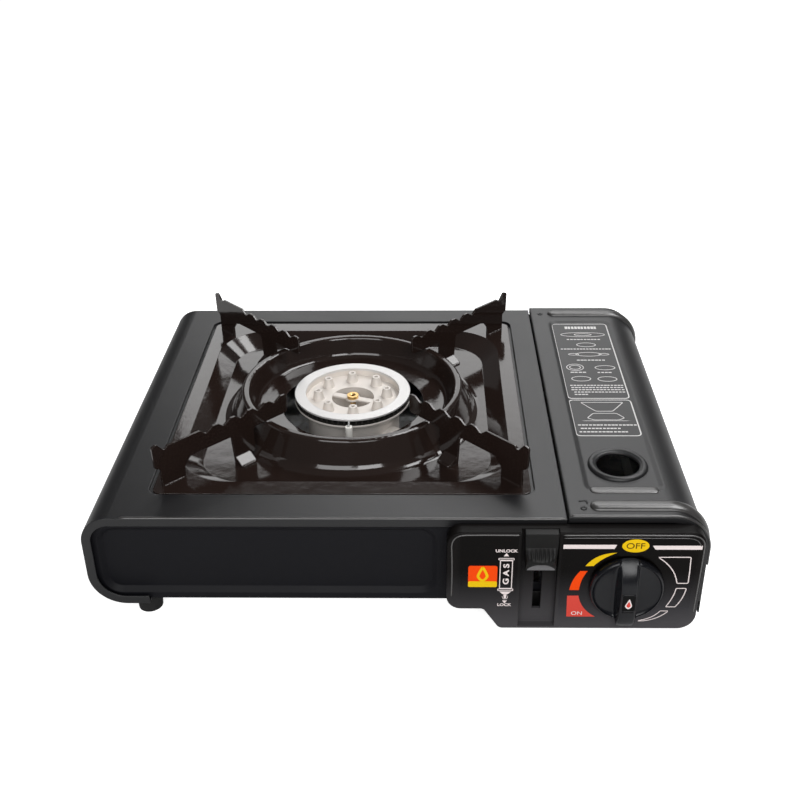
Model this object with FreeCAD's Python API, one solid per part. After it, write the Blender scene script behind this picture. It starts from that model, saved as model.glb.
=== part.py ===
"""Tabletop butane cassette stove, in millimetres.

The stove stands on its feet. +X is the user's right, +Y points to the back, +Z is up. Sizes are set out
from the front edge of the top plate (y = 0) and the middle of the body's width (x = 0). The finished
pieces are then moved so that the origin lies below the middle of the whole stove.
"""

import FreeCAD, Part
import math
import os

os.makedirs("parts", exist_ok=True)
Vector = FreeCAD.Vector

# Body
BODY_WIDTH = 342.0
BODY_DEPTH = 264.0
TOP_HEIGHT = 71.0
SHEET = 0.8
SHOULDER_RADIUS = 16.0
LOWER_RADIUS = 20.0
CASE_UNDERLAP = 32.5
FLANGE_WIDTH = 5.0
SOFT_GAP = 0.3
PLAY = 0.05
SAME_PLACE = 1e-3

# Feet
FOOT_HEIGHT = 12.4
FOOT_DIAMETER = 15.0
FOOT_INSET_X = 28.5
FOOT_INSET_Y = 14.0
FOOT_TAPER = 0.6
FOOT_RECESS = 1.2
FOOT_RECESS_SHARE = 0.5
SHORT_FOOT_INSET_X = 34.0

# Top plate and its pan opening
PLATE_RIGHT = 93.2
PLATE_FOLD = 5.0
PAN_CENTRE_X = -30.0
PAN_CENTRE_Y = 134.0
OPENING_WIDTH = 216.5
OPENING_DEPTH = 222.0
OPENING_RADIUS = 7.0
LEDGE_DROP = 2.0
LEDGE_WIDTH = 6.0

# Drip pan
PAN_GAP = 2.0
PAN_SHEET = 0.9
PAN_CORNER = 5.0
WELL_RIM_HALF = 97.0
WELL_RIM_RADIUS = 33.0
WELL_FLOOR_HALF = 86.0
WELL_FLOOR_RADIUS = 26.0
WELL_FLOOR_Z = 62.5
COLLAR_FOOT_ROUND = 7.0
COLLAR_CREST_ROUND = 1.9
COLLAR_STEP_ROUND = 4.0
COLLAR_BASE_R = 85.0
COLLAR_FOOT_R = 77.5
COLLAR_CREST_OUTER = 69.8
COLLAR_CREST_INNER = 65.6
COLLAR_CREST_Z = 80.8
COLLAR_STEP_R = 61.0
COLLAR_STEP_Z = 67.9
PAN_HOLE_R = 45.5
PAN_HOLE_Z = 66.4

# Trivet blades
BLADE_SHEET = 1.3
BLADE_TIP_Z = 98.0
BLADE_TIP_R = 147.0
BLADE_HEEL_SETBACK = 3.5
BLADE_HEEL_STEP = 1.0
BLADE_HOOK_SETBACK = 7.5
BLADE_HOOK_RUN = 2.0
BLADE_HOOK_DEPTH = 2.5
BLADE_LEAN = 0.5
BLADE_HEEL_Z = 82.5
BLADE_EDGE_Z = 94.8
BLADE_FOOT_INNER = 128.0
BLADE_ARCH_TOP_Z = 81.8
BLADE_ARCH_OUTER = 123.5
BLADE_ARCH_INNER = 98.0
BLADE_LEG_OUTER = 93.5
BLADE_LEG_INNER = 79.0
BLADE_LEG_CHAMFER = 4.0
BLADE_ARCH_RUN = 3.0
BLADE_FOOT_RISE = 6.0
BLADE_OUTER_ROUNDS = [0, 1.5, 1.5, 1.4, 1.4, 1.2, 1.2]
BLADE_INNER_ROUNDS = [2.0, 2.0, 2.4, 0, 0, 0, 1.6, 3.5, 3.5, 0]
BLADE_INNER_END = 53.0
TOOTH_COUNT = 5
TOOTH_PITCH = 12.3
TOOTH_FIRST_R = 111.7
TOOTH_DEPTH = 3.6
TOOTH_STEEP_RUN = 3.9
TOOTH_EASY_RUN = 4.6
TOOTH_CREST_DROP = 0.5
TOOTH_ROUNDS = [2.2, 1.6, 2.2]
TAB_REACH = 6.5
TAB_HEIGHT = 4.6
TAB_EDGE = 0.8

# Burner
BURNER_RING_OUTER = 37.0
BURNER_RING_INNER = 30.0
BURNER_TOP_Z = 75.2
BURNER_RING_SHEET = 1.2
PORT_RING_OUTER = 35.8
PORT_RING_INNER = 31.0
PORT_HEIGHT = 3.4
PORT_COUNT = 60
PORT_SHARE = 0.68
PORT_ROOF = 0.6
PORT_TOOTH_DEPTH = 3.4
DISH_DROP = 5.0
DISH_SHEET = 1.4
BOSS_COUNT = 8
BOSS_TURN = 4.0
BOSS_CIRCLE = 22.0
BOSS_TOP_R = 2.5
BOSS_BASE_R = 3.8
BOSS_HEIGHT = 6.0
BOSS_HOLE_R = 1.2
DISH_HOLE_R = 13.5
BURNER_FLANGE = 1.2
BURNER_FLARE = 2.2
BURNER_BODY_R = 29.6
BURNER_WALL = 2.2
BURNER_BODY_BOTTOM = 37.0
BRIDGE_WIDTH = 4.4
BRIDGE_SHEET = 1.2
BRIDGE_ANGLE = -20.0
BRIDGE_PAD_MARGIN = 0.8
NUT_R = 3.7
NUT_HEIGHT = 1.9
NUT_DIMPLE = 0.6
STUD_LENGTH = 4.8
STUD_R = 1.8
STUD_HOLE_R = 1.0

# Mixing tube, nozzle and gas pipe
GAS_LINE_Z = 48.0
MIXER_OUTER_R = 8.0
MIXER_WALL = 0.8
MIXER_STUB_LENGTH = 9.0
MIXER_STUB_WALL = 2.0
MIXER_STUB_STOP = 2.0
MIXER_FLARE_R = 11.0
MIXER_FLARE_LENGTH = 10.0
MIXER_START = 30.0
NOZZLE_START = 12.0
NOZZLE_LENGTH = 16.0
NOZZLE_R = 4.0
NOZZLE_TIP_R = 1.6
NOZZLE_TIP_LENGTH = 4.0
NOZZLE_GRIP = 3.0
JET_HOLE_R = 0.4
PIPE_R = 2.2
PIPE_BORE_R = 1.3
PIPE_BEND = 5.0
PIPE_BEND_X = 87.4
PIPE_TURN_Y = 46.0

# Cartridge bay and base tray
BAY_FLOOR_Z = 3.2
BASE_FLOOR_Z = 13.5
BAY_WIDTH = 70.2
CARTRIDGE_R = 33.2
CARTRIDGE_GAP = 0.2
BAY_LIP_HEIGHT = 10.0
PANEL_RECESS = 4.0
PARTITION_FOLD = 8.0
HOLE_ROOM = 1.0
MOVING_ROOM = 2.0
EAR_ROUND_SHARE = 0.95

# Regulator
REGULATOR_R = 21.0
REGULATOR_LENGTH = 20.0
REGULATOR_FLANGE_WIDTH = 58.0
REGULATOR_FLANGE_HEIGHT = 30.0
REGULATOR_FLANGE = 3.0
REGULATOR_CAP_R = 8.5
REGULATOR_CAP_LENGTH = 6.0
SPINDLE_DEPTH = 12.0
SPINDLE_END_ROOM = 1.0
FLANGE_SCREW_INSET = 4.5
SOCKET_BORE_R = 17.1
SOCKET_WALL = 2.4
SOCKET_DEPTH = 7.0
SOCKET_FACE_Y = 36.0
SOCKET_STEM_R = 2.6
SOCKET_BASE = 1.5
GUIDE_TAB_RISE = 1.5
GUIDE_TAB_SINK = 1.0
GUIDE_TAB_WIDTH = 5.0
GUIDE_TAB_REACH = 4.0

# Cartridge lid
LID_LEFT = 94.0
LID_HEIGHT = 72.8
LID_SHOULDER = 22.0
LID_FLANGE = 4.0
LID_BOTTOM_Z = 7.0
LID_EDGE_FOLD = 3.0
LID_SWING_ROOM = 2.4
HINGE_X = 167.0
HINGE_Z = 9.0
HINGE_PIN_R = 1.2
HINGE_HEAD_R = 2.0
HINGE_HEAD = 0.8
LID_EAR_INSET = 1.2
LID_EAR_FOOT = 0.6
LID_FOLD_ROUND = 1.2
PIN_INSIDE = 1.0
LID_FLANGE_START = 15.0
RIB_START_X = 108.5
RIB_WIDTH = 6.0
RIB_HEIGHT = 1.2
RIB_INSET = 10.0
RIB_END_Z = 40.0
FIELD_LEFT = 105.5
FIELD_RIGHT = 150.6
FIELD_FRONT = 24.0
FIELD_BACK = 242.0
FIELD_DEPTH = 1.0
FIELD_BEVEL = 3.0
FIELD_RADIUS = 6.0
FINGER_HOLE_X = 127.8
FINGER_HOLE_Y = 51.7
FINGER_HOLE_R = 12.25
FINGER_RIM_R = 17.0
FINGER_CREST_R = 14.4
FINGER_CREST = 1.4
FINGER_LIP = 0.5

# Front and back panels
SUNK_LEFT = -164.0
SUNK_RIGHT = 24.0
SUNK_BOTTOM = 17.0
SUNK_TOP = 62.0
SUNK_DEPTH = 2.6
SUNK_BEVEL = 3.0
SUNK_RADIUS = 10.0
VENT_COUNT = 6
VENT_WIDTH = 22.0
VENT_HEIGHT = 4.0
VENT_PITCH = 30.0
VENT_Z = 50.0

# Control panel
CONTROL_LEFT = 28.7
CONTROL_RIGHT = 167.0
CONTROL_TOP = 68.6
CONTROL_BOTTOM = 2.6
CONTROL_LEFT_BOTTOM = 16.4
CONTROL_FRONT_Y = -9.0
CONTROL_BACK_Y = -0.4
CONTROL_WALL = 2.2
CONTROL_CORNER = 8.0
CONTROL_STEP_X = 49.0
CONTROL_STEP_RUN = 9.0
CONTROL_EDGE_ROUND = 1.2
STEP_ROUND_TOP = 3.0
STEP_ROUND_FOOT = 4.0
LOWER_CORNER = 10.0
CHANNEL_LEFT = 68.6
CHANNEL_RIGHT = 88.6
CHANNEL_DEPTH = 4.5
CHANNEL_BOTTOM = 4.4
LEVER_X = 78.7
LEVER_SLOT_WIDTH = 4.6
LEVER_SLOT_BOTTOM = 13.5
LEVER_SLOT_TOP = 66.0
CONTROL_BOSS_R = 4.0
CONTROL_SCREW_R = 1.6
BOSS_LEFT_INSET = 9.3
BOSS_RIGHT_INSET = 14.0
BOSS_BESIDE_CHANNEL = 8.2
BOSS_LEFT_Z = 30.0
BOSS_MIDDLE_Z = 40.0
BOSS_HIGH_Z = 58.0
BOSS_LOW_Z = 18.0
SCREW_BITE = 3.0

# Knob
KNOB_X = 126.5
KNOB_Z = 32.7
KNOB_R = 20.4
KNOB_FACE_Y = -13.4
KNOB_GAP = 0.8
KNOB_GRIP_WIDTH = 10.0
KNOB_GRIP_REACH = 6.0
KNOB_GRIP_TAIL = 2.4
KNOB_GRIP_TOP = 19.6
KNOB_RIM_ROUND = 1.2
KNOB_RIM = 1.8
KNOB_HOLLOW = 2.4
KNOB_END_REACH = 1.0
KNOB_FLAT_BELOW = 10.0
KNOB_FLAT_ABOVE = 6.0
KNOB_GRIP_ROUNDS = [0, 2.0, 8.0, 10.0, 2.0, 0]
SPINDLE_R = 4.0
SPINDLE_SEAT = 5.0
CAM_R = 9.0
CAM_LENGTH = 4.0
CAM_TOOTH = 3.0

# Lock lever and pusher
LEVER_TRAVEL = 24.0
PUSH_TRAVEL = 9.0
LEVER_BLOCK_WIDTH = 18.4
LEVER_BLOCK_TOP = 68.4
LEVER_BLOCK_BOTTOM = 45.4
LEVER_STEM_WIDTH = 3.6
LEVER_STEM_TOP = 63.0
LEVER_STEM_BOTTOM = 51.0
LEVER_PROUD = 2.5
LEVER_LIP_REACH = 4.5
LEVER_LIP_DROP = 3.5
LEVER_TOP_SETBACK = 2.5
LEVER_ROUNDS = [0, 2.0, 1.2, 3.0, 0.8, 0]
SLIDE_FIT_DEPTH = 1.0
SLIDE_SHEET = 1.2
SLIDE_FRONT_Y = 13.0
SLIDE_BACK_Y = 32.0
SLIDE_TOP = 69.9
SLIDE_HEIGHT = 30.6
CAM_PIN_R = 1.5
CAM_PIN_Z = 42.0
CAM_PIN_Y = 27.0
PUSHER_SHEET = 1.2
PUSHER_X = 152.0
PUSHER_WIDTH = 6.0
PUSHER_REAR_Y = 232.0
PUSHER_BAR_FRONT = 22.0
PUSHER_BAR_BACK = 32.0
PUSHER_UPRIGHT_X = 83.0
PUSHER_UPRIGHT_TOP = 45.0
PUSHER_PLATE_LEFT = 110.0
PUSHER_PLATE_TOP = 46.0
PUSHER_CROSS = 8.0
GUIDE_Y = (60.0, 190.0)
GUIDE_LENGTH = 8.0
SPRING_R = 3.0
SPRING_WIRE = 0.9
SPRING_TURNS = 9
SPRING_ABOVE_STRIP = 7.0
SPRING_CHECKS = 24
SPRING_NEAR_SHARE = 0.5

# Igniter
IGNITER_X = 96.5
IGNITER_WIDTH = 9.0
IGNITER_FRONT = 8.0
IGNITER_DEPTH = 27.5
LEAD_INSET = 1.5
IGNITER_ROOM = 1.0
IGNITER_BOTTOM = 20.0
IGNITER_HEIGHT = 14.0
ELECTRODE_R = 2.25
ELECTRODE_Y_OFFSET = -40.8
ELECTRODE_TOP = 72.6
ELECTRODE_BOTTOM = 52.0
ELECTRODE_TIP_R = 0.6
ELECTRODE_TIP_RISE = 1.6
ELECTRODE_TIP_REACH = 2.6
ELECTRODE_TIP_BEND = 1.0
ELECTRODE_BEAD = 0.9
ELECTRODE_BEAD_HEIGHT = 2.0
LEAD_R = 1.1
LEAD_RUN = 24.0
LEAD_DROP_RUN = 20.0
LEAD_TURN_Y = 14.0
LEAD_WAY_Y = 13.0
LEAD_RISE = 4.0
LEAD_LIFT = 12.0
LEAD_NEAR = 16.0
LEAD_BENDS = [0, 12.0, 14.0, 20.0, 12.0, 6.0, 0]
CLIP_SHEET = 0.8
CLIP_HALF = 5.0

# Bracket and heat shield
BRACKET_HALF = 46.0
BRACKET_WIDTH = 16.0
BRACKET_SHEET = 1.2
BRACKET_FOOT = 10.0
BRACKET_ROUNDS = [0, 2.0, 3.0, 3.0, 2.0, 0]
SHIELD_HALF_X = 43.0
SHIELD_HALF_Y = 62.0
SHIELD_CORNER = 6.0

# Screws
SCREW_HEAD_R = 3.0
SCREW_HEAD = 1.6
SCREW_R = 1.5
SCREW_HEAD_TAPER = 0.7
FLOOR_SCREW_SHARE = 0.55

# Pads that steady the cartridge
PAD_SPREAD = 14.0
PAD_HALF = 2.0
PAD_LENGTH = 30.0
PAD_HEIGHT = 2.4
PAD_FRONT_Y = 80.0
PAD_BACK_Y = 170.0

# Values that follow from the sizes above
HALF_WIDTH = BODY_WIDTH / 2
PLATE_UNDERSIDE = TOP_HEIGHT - SHEET
LEDGE_TOP = TOP_HEIGHT - LEDGE_DROP
PAN_RIM_BOTTOM = LEDGE_TOP + SOFT_GAP
PAN_RIM_TOP = PAN_RIM_BOTTOM + PAN_SHEET
PAN_HALF_X = OPENING_WIDTH / 2 - PAN_GAP
PAN_HALF_Y = OPENING_DEPTH / 2 - PAN_GAP
BASE_FLOOR_TOP = BASE_FLOOR_Z + SHEET
BAY_FLOOR_TOP = BAY_FLOOR_Z + SHEET
BAY_LEFT = PLATE_RIGHT
BAY_RIGHT = BAY_LEFT + BAY_WIDTH
CARTRIDGE_X = (BAY_LEFT + BAY_RIGHT) / 2
CARTRIDGE_Z = BAY_FLOOR_TOP + CARTRIDGE_GAP + CARTRIDGE_R
BAY_LIP_TOP = BAY_FLOOR_Z + BAY_LIP_HEIGHT
PANEL_FRONT_Y = PANEL_RECESS
PANEL_BACK_Y = BODY_DEPTH - PANEL_RECESS
INSIDE_FRONT = PANEL_FRONT_Y + SHEET
INSIDE_BACK = PANEL_BACK_Y - SHEET
PARTITION_RIGHT = PLATE_RIGHT - SHEET - SOFT_GAP
PARTITION_LEFT = PARTITION_RIGHT - SHEET
SOCKET_BACK_Y = SOCKET_FACE_Y - SOCKET_DEPTH
REGULATOR_FRONT_Y = SOCKET_BACK_Y - REGULATOR_LENGTH
DISH_TOP_Z = BURNER_TOP_Z - DISH_DROP
PORT_BOTTOM_Z = BURNER_TOP_Z - BURNER_RING_SHEET - PORT_HEIGHT
BURNER_SEAT_Z = PORT_BOTTOM_Z - BURNER_FLANGE
ELECTRODE_Y = PAN_CENTRE_Y + ELECTRODE_Y_OFFSET
LID_INSIDE_X = HALF_WIDTH - SHEET
LEVER_BLOCK_BACK = CONTROL_FRONT_Y + CHANNEL_DEPTH - SOFT_GAP
STRIP_BOTTOM = BAY_FLOOR_TOP + SOFT_GAP
STRIP_TOP = STRIP_BOTTOM + PUSHER_SHEET
BAR_BOTTOM = BASE_FLOOR_TOP + SOFT_GAP
ORIGIN_X = RIB_HEIGHT / 2
ORIGIN_Y = (BODY_DEPTH + KNOB_FACE_Y - KNOB_GRIP_REACH) / 2

GAS_CORNER = Vector(PIPE_BEND_X, PIPE_TURN_Y, GAS_LINE_Z)
BURNER_AXIS = Vector(PAN_CENTRE_X, PAN_CENTRE_Y, GAS_LINE_Z)
MIXER_WAY = (BURNER_AXIS - GAS_CORNER).normalize()
MIXER_SPAN = BURNER_AXIS.distanceToPoint(GAS_CORNER)

X_AXIS = Vector(1, 0, 0)
Y_AXIS = Vector(0, 1, 0)
Z_AXIS = Vector(0, 0, 1)


def save(name, shape):
    """Move a finished piece to the stove's origin and write it."""
    placed = shape.copy()
    placed.translate(Vector(-ORIGIN_X, -ORIGIN_Y, 0))
    placed.exportStep("parts/" + name + ".step")


def box(x0, x1, y0, y1, z0, z1):
    """A block between two opposite corners."""
    return Part.makeBox(x1 - x0, y1 - y0, z1 - z0, Vector(x0, y0, z0))


def rod(radius, length, start, way=Z_AXIS):
    """A round bar from a point along a direction."""
    return Part.makeCylinder(radius, length, start, way)


def pipe(outer, bore, length, start, way=Z_AXIS):
    """A round bar with a bore right through."""
    return rod(outer, length, start, way).cut(rod(bore, length, start, way))


def cone(first, second, length, start, way=Z_AXIS):
    """A tapered bar from a point along a direction."""
    return Part.makeCone(first, second, length, start, way)


def fused(shapes):
    """All the shapes as one solid."""
    return shapes[0].fuse(shapes[1:]).removeSplitter()


def rounded_corner(before, corner, after, radius):
    """Where the arc that rounds a corner starts, bulges and ends."""
    arrive = (corner - before).normalize()
    leave = (after - corner).normalize()
    half_turn = arrive.getAngle(leave) / 2
    reach = radius * math.tan(half_turn)
    start = corner - arrive * reach
    end = corner + leave * reach
    inward = (leave - arrive).normalize()
    middle = corner + inward * (radius / math.cos(half_turn) - radius)
    return start, middle, end


def rounded_wire(points, radii, closed):
    """Straight runs through the points, with each corner rounded to its radius."""
    count = len(points)
    first = 0 if closed else 1
    last = count if closed else count - 1
    edges = []
    place = None if closed else points[0]
    opening = None
    for index in range(first, last):
        corner = points[index]
        if radii[index] > 0:
            arc = rounded_corner(points[index - 1], corner, points[(index + 1) % count], radii[index])
        else:
            arc = (corner, None, corner)
        if place is None:
            opening = arc[0]
        elif place.distanceToPoint(arc[0]) > SAME_PLACE:
            edges.append(Part.LineSegment(place, arc[0]).toShape())
        if arc[1] is not None:
            edges.append(Part.Arc(arc[0], arc[1], arc[2]).toShape())
        place = arc[2]
    finish = opening if closed else points[-1]
    if place.distanceToPoint(finish) > SAME_PLACE:
        edges.append(Part.LineSegment(place, finish).toShape())
    return Part.Wire(edges)


def offset_line(points, distance):
    """The same open line moved sideways by a distance, to its left as it runs in (a, b)."""
    moved = []
    ways = [((q[0] - p[0]), (q[1] - p[1])) for p, q in zip(points, points[1:])]
    ways = [(a / math.hypot(a, b), b / math.hypot(a, b)) for a, b in ways]
    for index, (a, b) in enumerate(points):
        before = ways[max(index - 1, 0)]
        after = ways[min(index, len(ways) - 1)]
        normal = (-(before[1] + after[1]), before[0] + after[0])
        scale = 2 * distance / (normal[0] ** 2 + normal[1] ** 2)
        moved.append((a + normal[0] * scale, b + normal[1] * scale))
    return moved


def band(points, radii, thickness, place):
    """A strip of even thickness on the left of a line with rounded corners, as a face."""
    inner = offset_line(points, thickness)
    inner_radii = []
    for index, radius in enumerate(radii):
        if radius == 0:
            inner_radii.append(0)
            continue
        p, q, r = points[index - 1], points[index], points[index + 1]
        turn = (q[0] - p[0]) * (r[1] - q[1]) - (q[1] - p[1]) * (r[0] - q[0])
        inner_radii.append(radius - thickness if turn > 0 else radius + thickness)
    outer_wire = rounded_wire([place(*p) for p in points], radii, False)
    inner_wire = rounded_wire([place(*p) for p in inner], inner_radii, False)
    start = Part.LineSegment(place(*points[0]), place(*inner[0])).toShape()
    end = Part.LineSegment(place(*points[-1]), place(*inner[-1])).toShape()
    edges = outer_wire.Edges + [end] + inner_wire.Edges + [start]
    return Part.Face(Part.Wire(Part.__sortEdges__(edges)))


def sheet_along_y(points, radii, thickness, y0, y1):
    """A bent sheet whose section in X and Z runs from y0 to y1."""
    face = band(points, radii, thickness, lambda x, z: Vector(x, y0, z))
    return face.extrude(Vector(0, y1 - y0, 0))


def turned(points, radii, thickness):
    """A sheet bowl: a band in radius and height turned about the pan's centre."""
    face = band(points, radii, thickness, lambda r, z: Vector(PAN_CENTRE_X + r, PAN_CENTRE_Y, z))
    return face.revolve(Vector(PAN_CENTRE_X, PAN_CENTRE_Y, 0), Z_AXIS, 360)


def outline_xz(points, radii, y0, y1):
    """A plate with a rounded outline in X and Z, from y0 to y1."""
    wire = rounded_wire([Vector(x, y0, z) for x, z in points], radii, True)
    return Part.Face(wire).extrude(Vector(0, y1 - y0, 0))


def rectangle_wire(half_x, half_y, radius, centre):
    """A level rectangle with rounded corners about a centre."""
    signs = [(-1, -1), (1, -1), (1, 1), (-1, 1)]
    points = [centre + Vector(a * half_x, b * half_y, 0) for a, b in signs]
    return rounded_wire(points, [radius] * 4, True)


def rectangle_block(half_x, half_y, radius, centre, height):
    """A rectangle with rounded corners raised to a height."""
    face = Part.Face(rectangle_wire(half_x, half_y, radius, centre))
    return face.extrude(Vector(0, 0, height))


def lofted(wires):
    """A solid with straight sides between two like wires."""
    return Part.makeLoft(wires, True, True)


def pan_centre(z):
    """The centre of the pan at a height."""
    return Vector(PAN_CENTRE_X, PAN_CENTRE_Y, z)


def around_burner(shape, degrees):
    """A copy turned about the burner's upright axis."""
    copy = shape.copy()
    copy.rotate(pan_centre(0), Z_AXIS, degrees)
    return copy


def tube_along(points, radii, radius):
    """A round solid along runs and tangent arcs."""
    path = rounded_wire(points, radii, False)
    way = (points[1] - points[0]).normalize()
    section = Part.Wire([Part.makeCircle(radius, points[0], way)])
    return path.makePipeShell([section], True, False)


# Case line, from the fold at the lid down the left side to the edge under the stove
CASE_LINE = [
    (PLATE_RIGHT, TOP_HEIGHT),
    (-HALF_WIDTH, TOP_HEIGHT),
    (-HALF_WIDTH, FOOT_HEIGHT),
    (-HALF_WIDTH + CASE_UNDERLAP, FOOT_HEIGHT),
]
CASE_RADII = [0, SHOULDER_RADIUS, LOWER_RADIUS, 0]


def case_flange(y0):
    """The edge that turns in round one open end of the case."""
    return sheet_along_y(CASE_LINE, CASE_RADII, FLANGE_WIDTH, y0, y0 + SHEET)


def make_top_case():
    """Bent steel shell: top plate, left side, underlap, end flanges and the sunk ledge for the pan."""
    shell = sheet_along_y(CASE_LINE, CASE_RADII, SHEET, 0, BODY_DEPTH)
    fold = box(PLATE_RIGHT - SHEET, PLATE_RIGHT, 0, BODY_DEPTH, TOP_HEIGHT - PLATE_FOLD, TOP_HEIGHT)
    ends = [case_flange(0), case_flange(BODY_DEPTH - SHEET)]
    half_x = OPENING_WIDTH / 2
    half_y = OPENING_DEPTH / 2
    opening_bottom = pan_centre(LEDGE_TOP - SHEET)
    skirt = rectangle_block(half_x + SHEET, half_y + SHEET, OPENING_RADIUS + SHEET, opening_bottom,
                            LEDGE_DROP + SHEET)
    hole = rectangle_block(half_x, half_y, OPENING_RADIUS, pan_centre(LEDGE_TOP), 2 * LEDGE_DROP)
    window = rectangle_block(half_x - LEDGE_WIDTH, half_y - LEDGE_WIDTH, OPENING_RADIUS,
                             opening_bottom, LEDGE_DROP + SHEET)
    blank = rectangle_block(half_x, half_y, OPENING_RADIUS, pan_centre(PLATE_UNDERSIDE), SHEET)
    case = fused([shell.cut(blank), fold] + ends)
    return case.fuse(skirt.cut([hole, window])).removeSplitter()


def panel_outline():
    """The outline of the plates that close both ends of the body, with the hinge ears."""
    left = -HALF_WIDTH + SHEET + SOFT_GAP
    lid_side = LID_INSIDE_X - LID_EAR_INSET * 2
    ear = HINGE_PIN_R + LID_EAR_INSET
    lid_under = LID_HEIGHT - SHEET - SOFT_GAP
    points = [
        (left, BASE_FLOOR_Z - SOFT_GAP),
        (BAY_LEFT - SHEET, BASE_FLOOR_Z - SOFT_GAP),
        (BAY_LEFT - SHEET, BAY_FLOOR_Z),
        (BAY_RIGHT, BAY_FLOOR_Z),
        (BAY_RIGHT, HINGE_Z - ear),
        (HINGE_X + ear, HINGE_Z - ear),
        (HINGE_X + ear, HINGE_Z + ear),
        (lid_side - ear, HINGE_Z + ear),
        (lid_side - ear, lid_under),
        (LID_LEFT + SHEET + LID_SWING_ROOM, lid_under),
        (LID_LEFT + SHEET + LID_SWING_ROOM, LID_HEIGHT - LID_EDGE_FOLD - SOFT_GAP),
        (BAY_LEFT + SOFT_GAP, LID_HEIGHT - LID_EDGE_FOLD - SOFT_GAP),
        (BAY_LEFT + SOFT_GAP, PLATE_UNDERSIDE - PLATE_FOLD),
        (PLATE_RIGHT - SHEET - SOFT_GAP, PLATE_UNDERSIDE - PLATE_FOLD),
        (PLATE_RIGHT - SHEET - SOFT_GAP, PLATE_UNDERSIDE - SOFT_GAP),
        (left, PLATE_UNDERSIDE - SOFT_GAP),
    ]
    corner = LOWER_RADIUS - SHEET - SOFT_GAP
    shoulder = SHOULDER_RADIUS - SHEET - SOFT_GAP
    ear_round = ear * EAR_ROUND_SHARE
    rounds = [corner, 0, 0, 0, 0, ear_round, ear_round, 0, LID_SHOULDER - SHEET, 0, 0, 0, 0, 0, 0, shoulder]
    return points, rounds


def sunk_field(y0, depth_way, grow):
    """The pressed field of an end panel, as the body between its rim and its floor."""
    rim = field_wire(SUNK_LEFT, SUNK_RIGHT, SUNK_BOTTOM, SUNK_TOP, SUNK_RADIUS, y0, grow)
    inset = -SUNK_BEVEL + grow
    floor_y = y0 + depth_way * SUNK_DEPTH
    floor = field_wire(SUNK_LEFT, SUNK_RIGHT, SUNK_BOTTOM, SUNK_TOP, SUNK_RADIUS, floor_y, inset)
    return lofted([rim, floor])


def field_wire(left, right, bottom, top, radius, y, grow):
    """An upright rounded rectangle, grown on each side by a distance."""
    points = [
        Vector(left - grow, y, bottom - grow),
        Vector(right + grow, y, bottom - grow),
        Vector(right + grow, y, top + grow),
        Vector(left - grow, y, top + grow),
    ]
    return rounded_wire(points, [radius + grow] * 4, True)


def make_front_panel():
    """Front plate: pressed field, lever and spindle holes, screw holes and hinge ears."""
    points, rounds = panel_outline()
    plate = outline_xz(points, rounds, PANEL_FRONT_Y, INSIDE_FRONT)
    pressed = sunk_field(INSIDE_FRONT, 1, SHEET / 2).fuse(plate)
    pressed = pressed.cut(sunk_field(PANEL_FRONT_Y, 1, 0))
    lever_slot = box(LEVER_X - LEVER_SLOT_WIDTH / 2, LEVER_X + LEVER_SLOT_WIDTH / 2, 0, 2 * PANEL_FRONT_Y,
                     LEVER_STEM_BOTTOM - LEVER_TRAVEL - MOVING_ROOM, LEVER_STEM_TOP + MOVING_ROOM)
    spindle = rod(CAM_R + CAM_TOOTH + HOLE_ROOM, 2 * PANEL_FRONT_Y, Vector(KNOB_X, 0, KNOB_Z), Y_AXIS)
    holes = [lever_slot, spindle] + pin_holes() + [
        rod(CONTROL_SCREW_R, 2 * PANEL_FRONT_Y, Vector(x, 0, z), Y_AXIS) for x, z in control_boss_places()]
    return pressed.cut(holes)


def make_back_panel():
    """Back plate: the same outline with a pressed field and a row of vents."""
    points, rounds = panel_outline()
    plate = outline_xz(points, rounds, INSIDE_BACK, PANEL_BACK_Y)
    pressed = sunk_field(INSIDE_BACK, -1, SHEET / 2).fuse(plate)
    pressed = pressed.cut(sunk_field(PANEL_BACK_Y, -1, 0))
    middle = (SUNK_LEFT + SUNK_RIGHT) / 2
    vents = []
    for index in range(VENT_COUNT):
        x = middle + (index - (VENT_COUNT - 1) / 2) * VENT_PITCH
        vents.append(box(x - VENT_WIDTH / 2, x + VENT_WIDTH / 2, INSIDE_BACK - 2 * SUNK_DEPTH, PANEL_BACK_Y,
                         VENT_Z, VENT_Z + VENT_HEIGHT))
    return pressed.cut(vents + pin_holes())


def pin_holes():
    """Holes for the hinge pins, through both ends."""
    return [rod(HINGE_PIN_R + PLAY, BODY_DEPTH, Vector(HINGE_X, 0, HINGE_Z), Y_AXIS)]


def control_boss_places():
    """Where the control panel's screws sit, in X and Z."""
    right = CONTROL_RIGHT - BOSS_RIGHT_INSET
    return [(CONTROL_LEFT + BOSS_LEFT_INSET, BOSS_LEFT_Z),
            (CHANNEL_LEFT - BOSS_BESIDE_CHANNEL, BOSS_MIDDLE_Z),
            (CHANNEL_RIGHT + BOSS_BESIDE_CHANNEL, BOSS_HIGH_Z), (right, BOSS_HIGH_Z), (right, BOSS_LOW_Z)]


def make_base_tray():
    """Bottom sheet, stepped down under the cartridge, with a lip along the lid's lower edge."""
    y0 = INSIDE_FRONT + SOFT_GAP
    y1 = INSIDE_BACK - SOFT_GAP
    left = -HALF_WIDTH + LOWER_RADIUS
    line = [(left, BASE_FLOOR_Z), (BAY_LEFT - SHEET, BASE_FLOOR_Z), (BAY_LEFT - SHEET, BAY_FLOOR_Z),
            (BAY_RIGHT + SHEET, BAY_FLOOR_Z), (BAY_RIGHT + SHEET, BAY_LIP_TOP)]
    return sheet_along_y(line, [0, 0, 0, 0, 0], SHEET, y0, y1)


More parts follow.
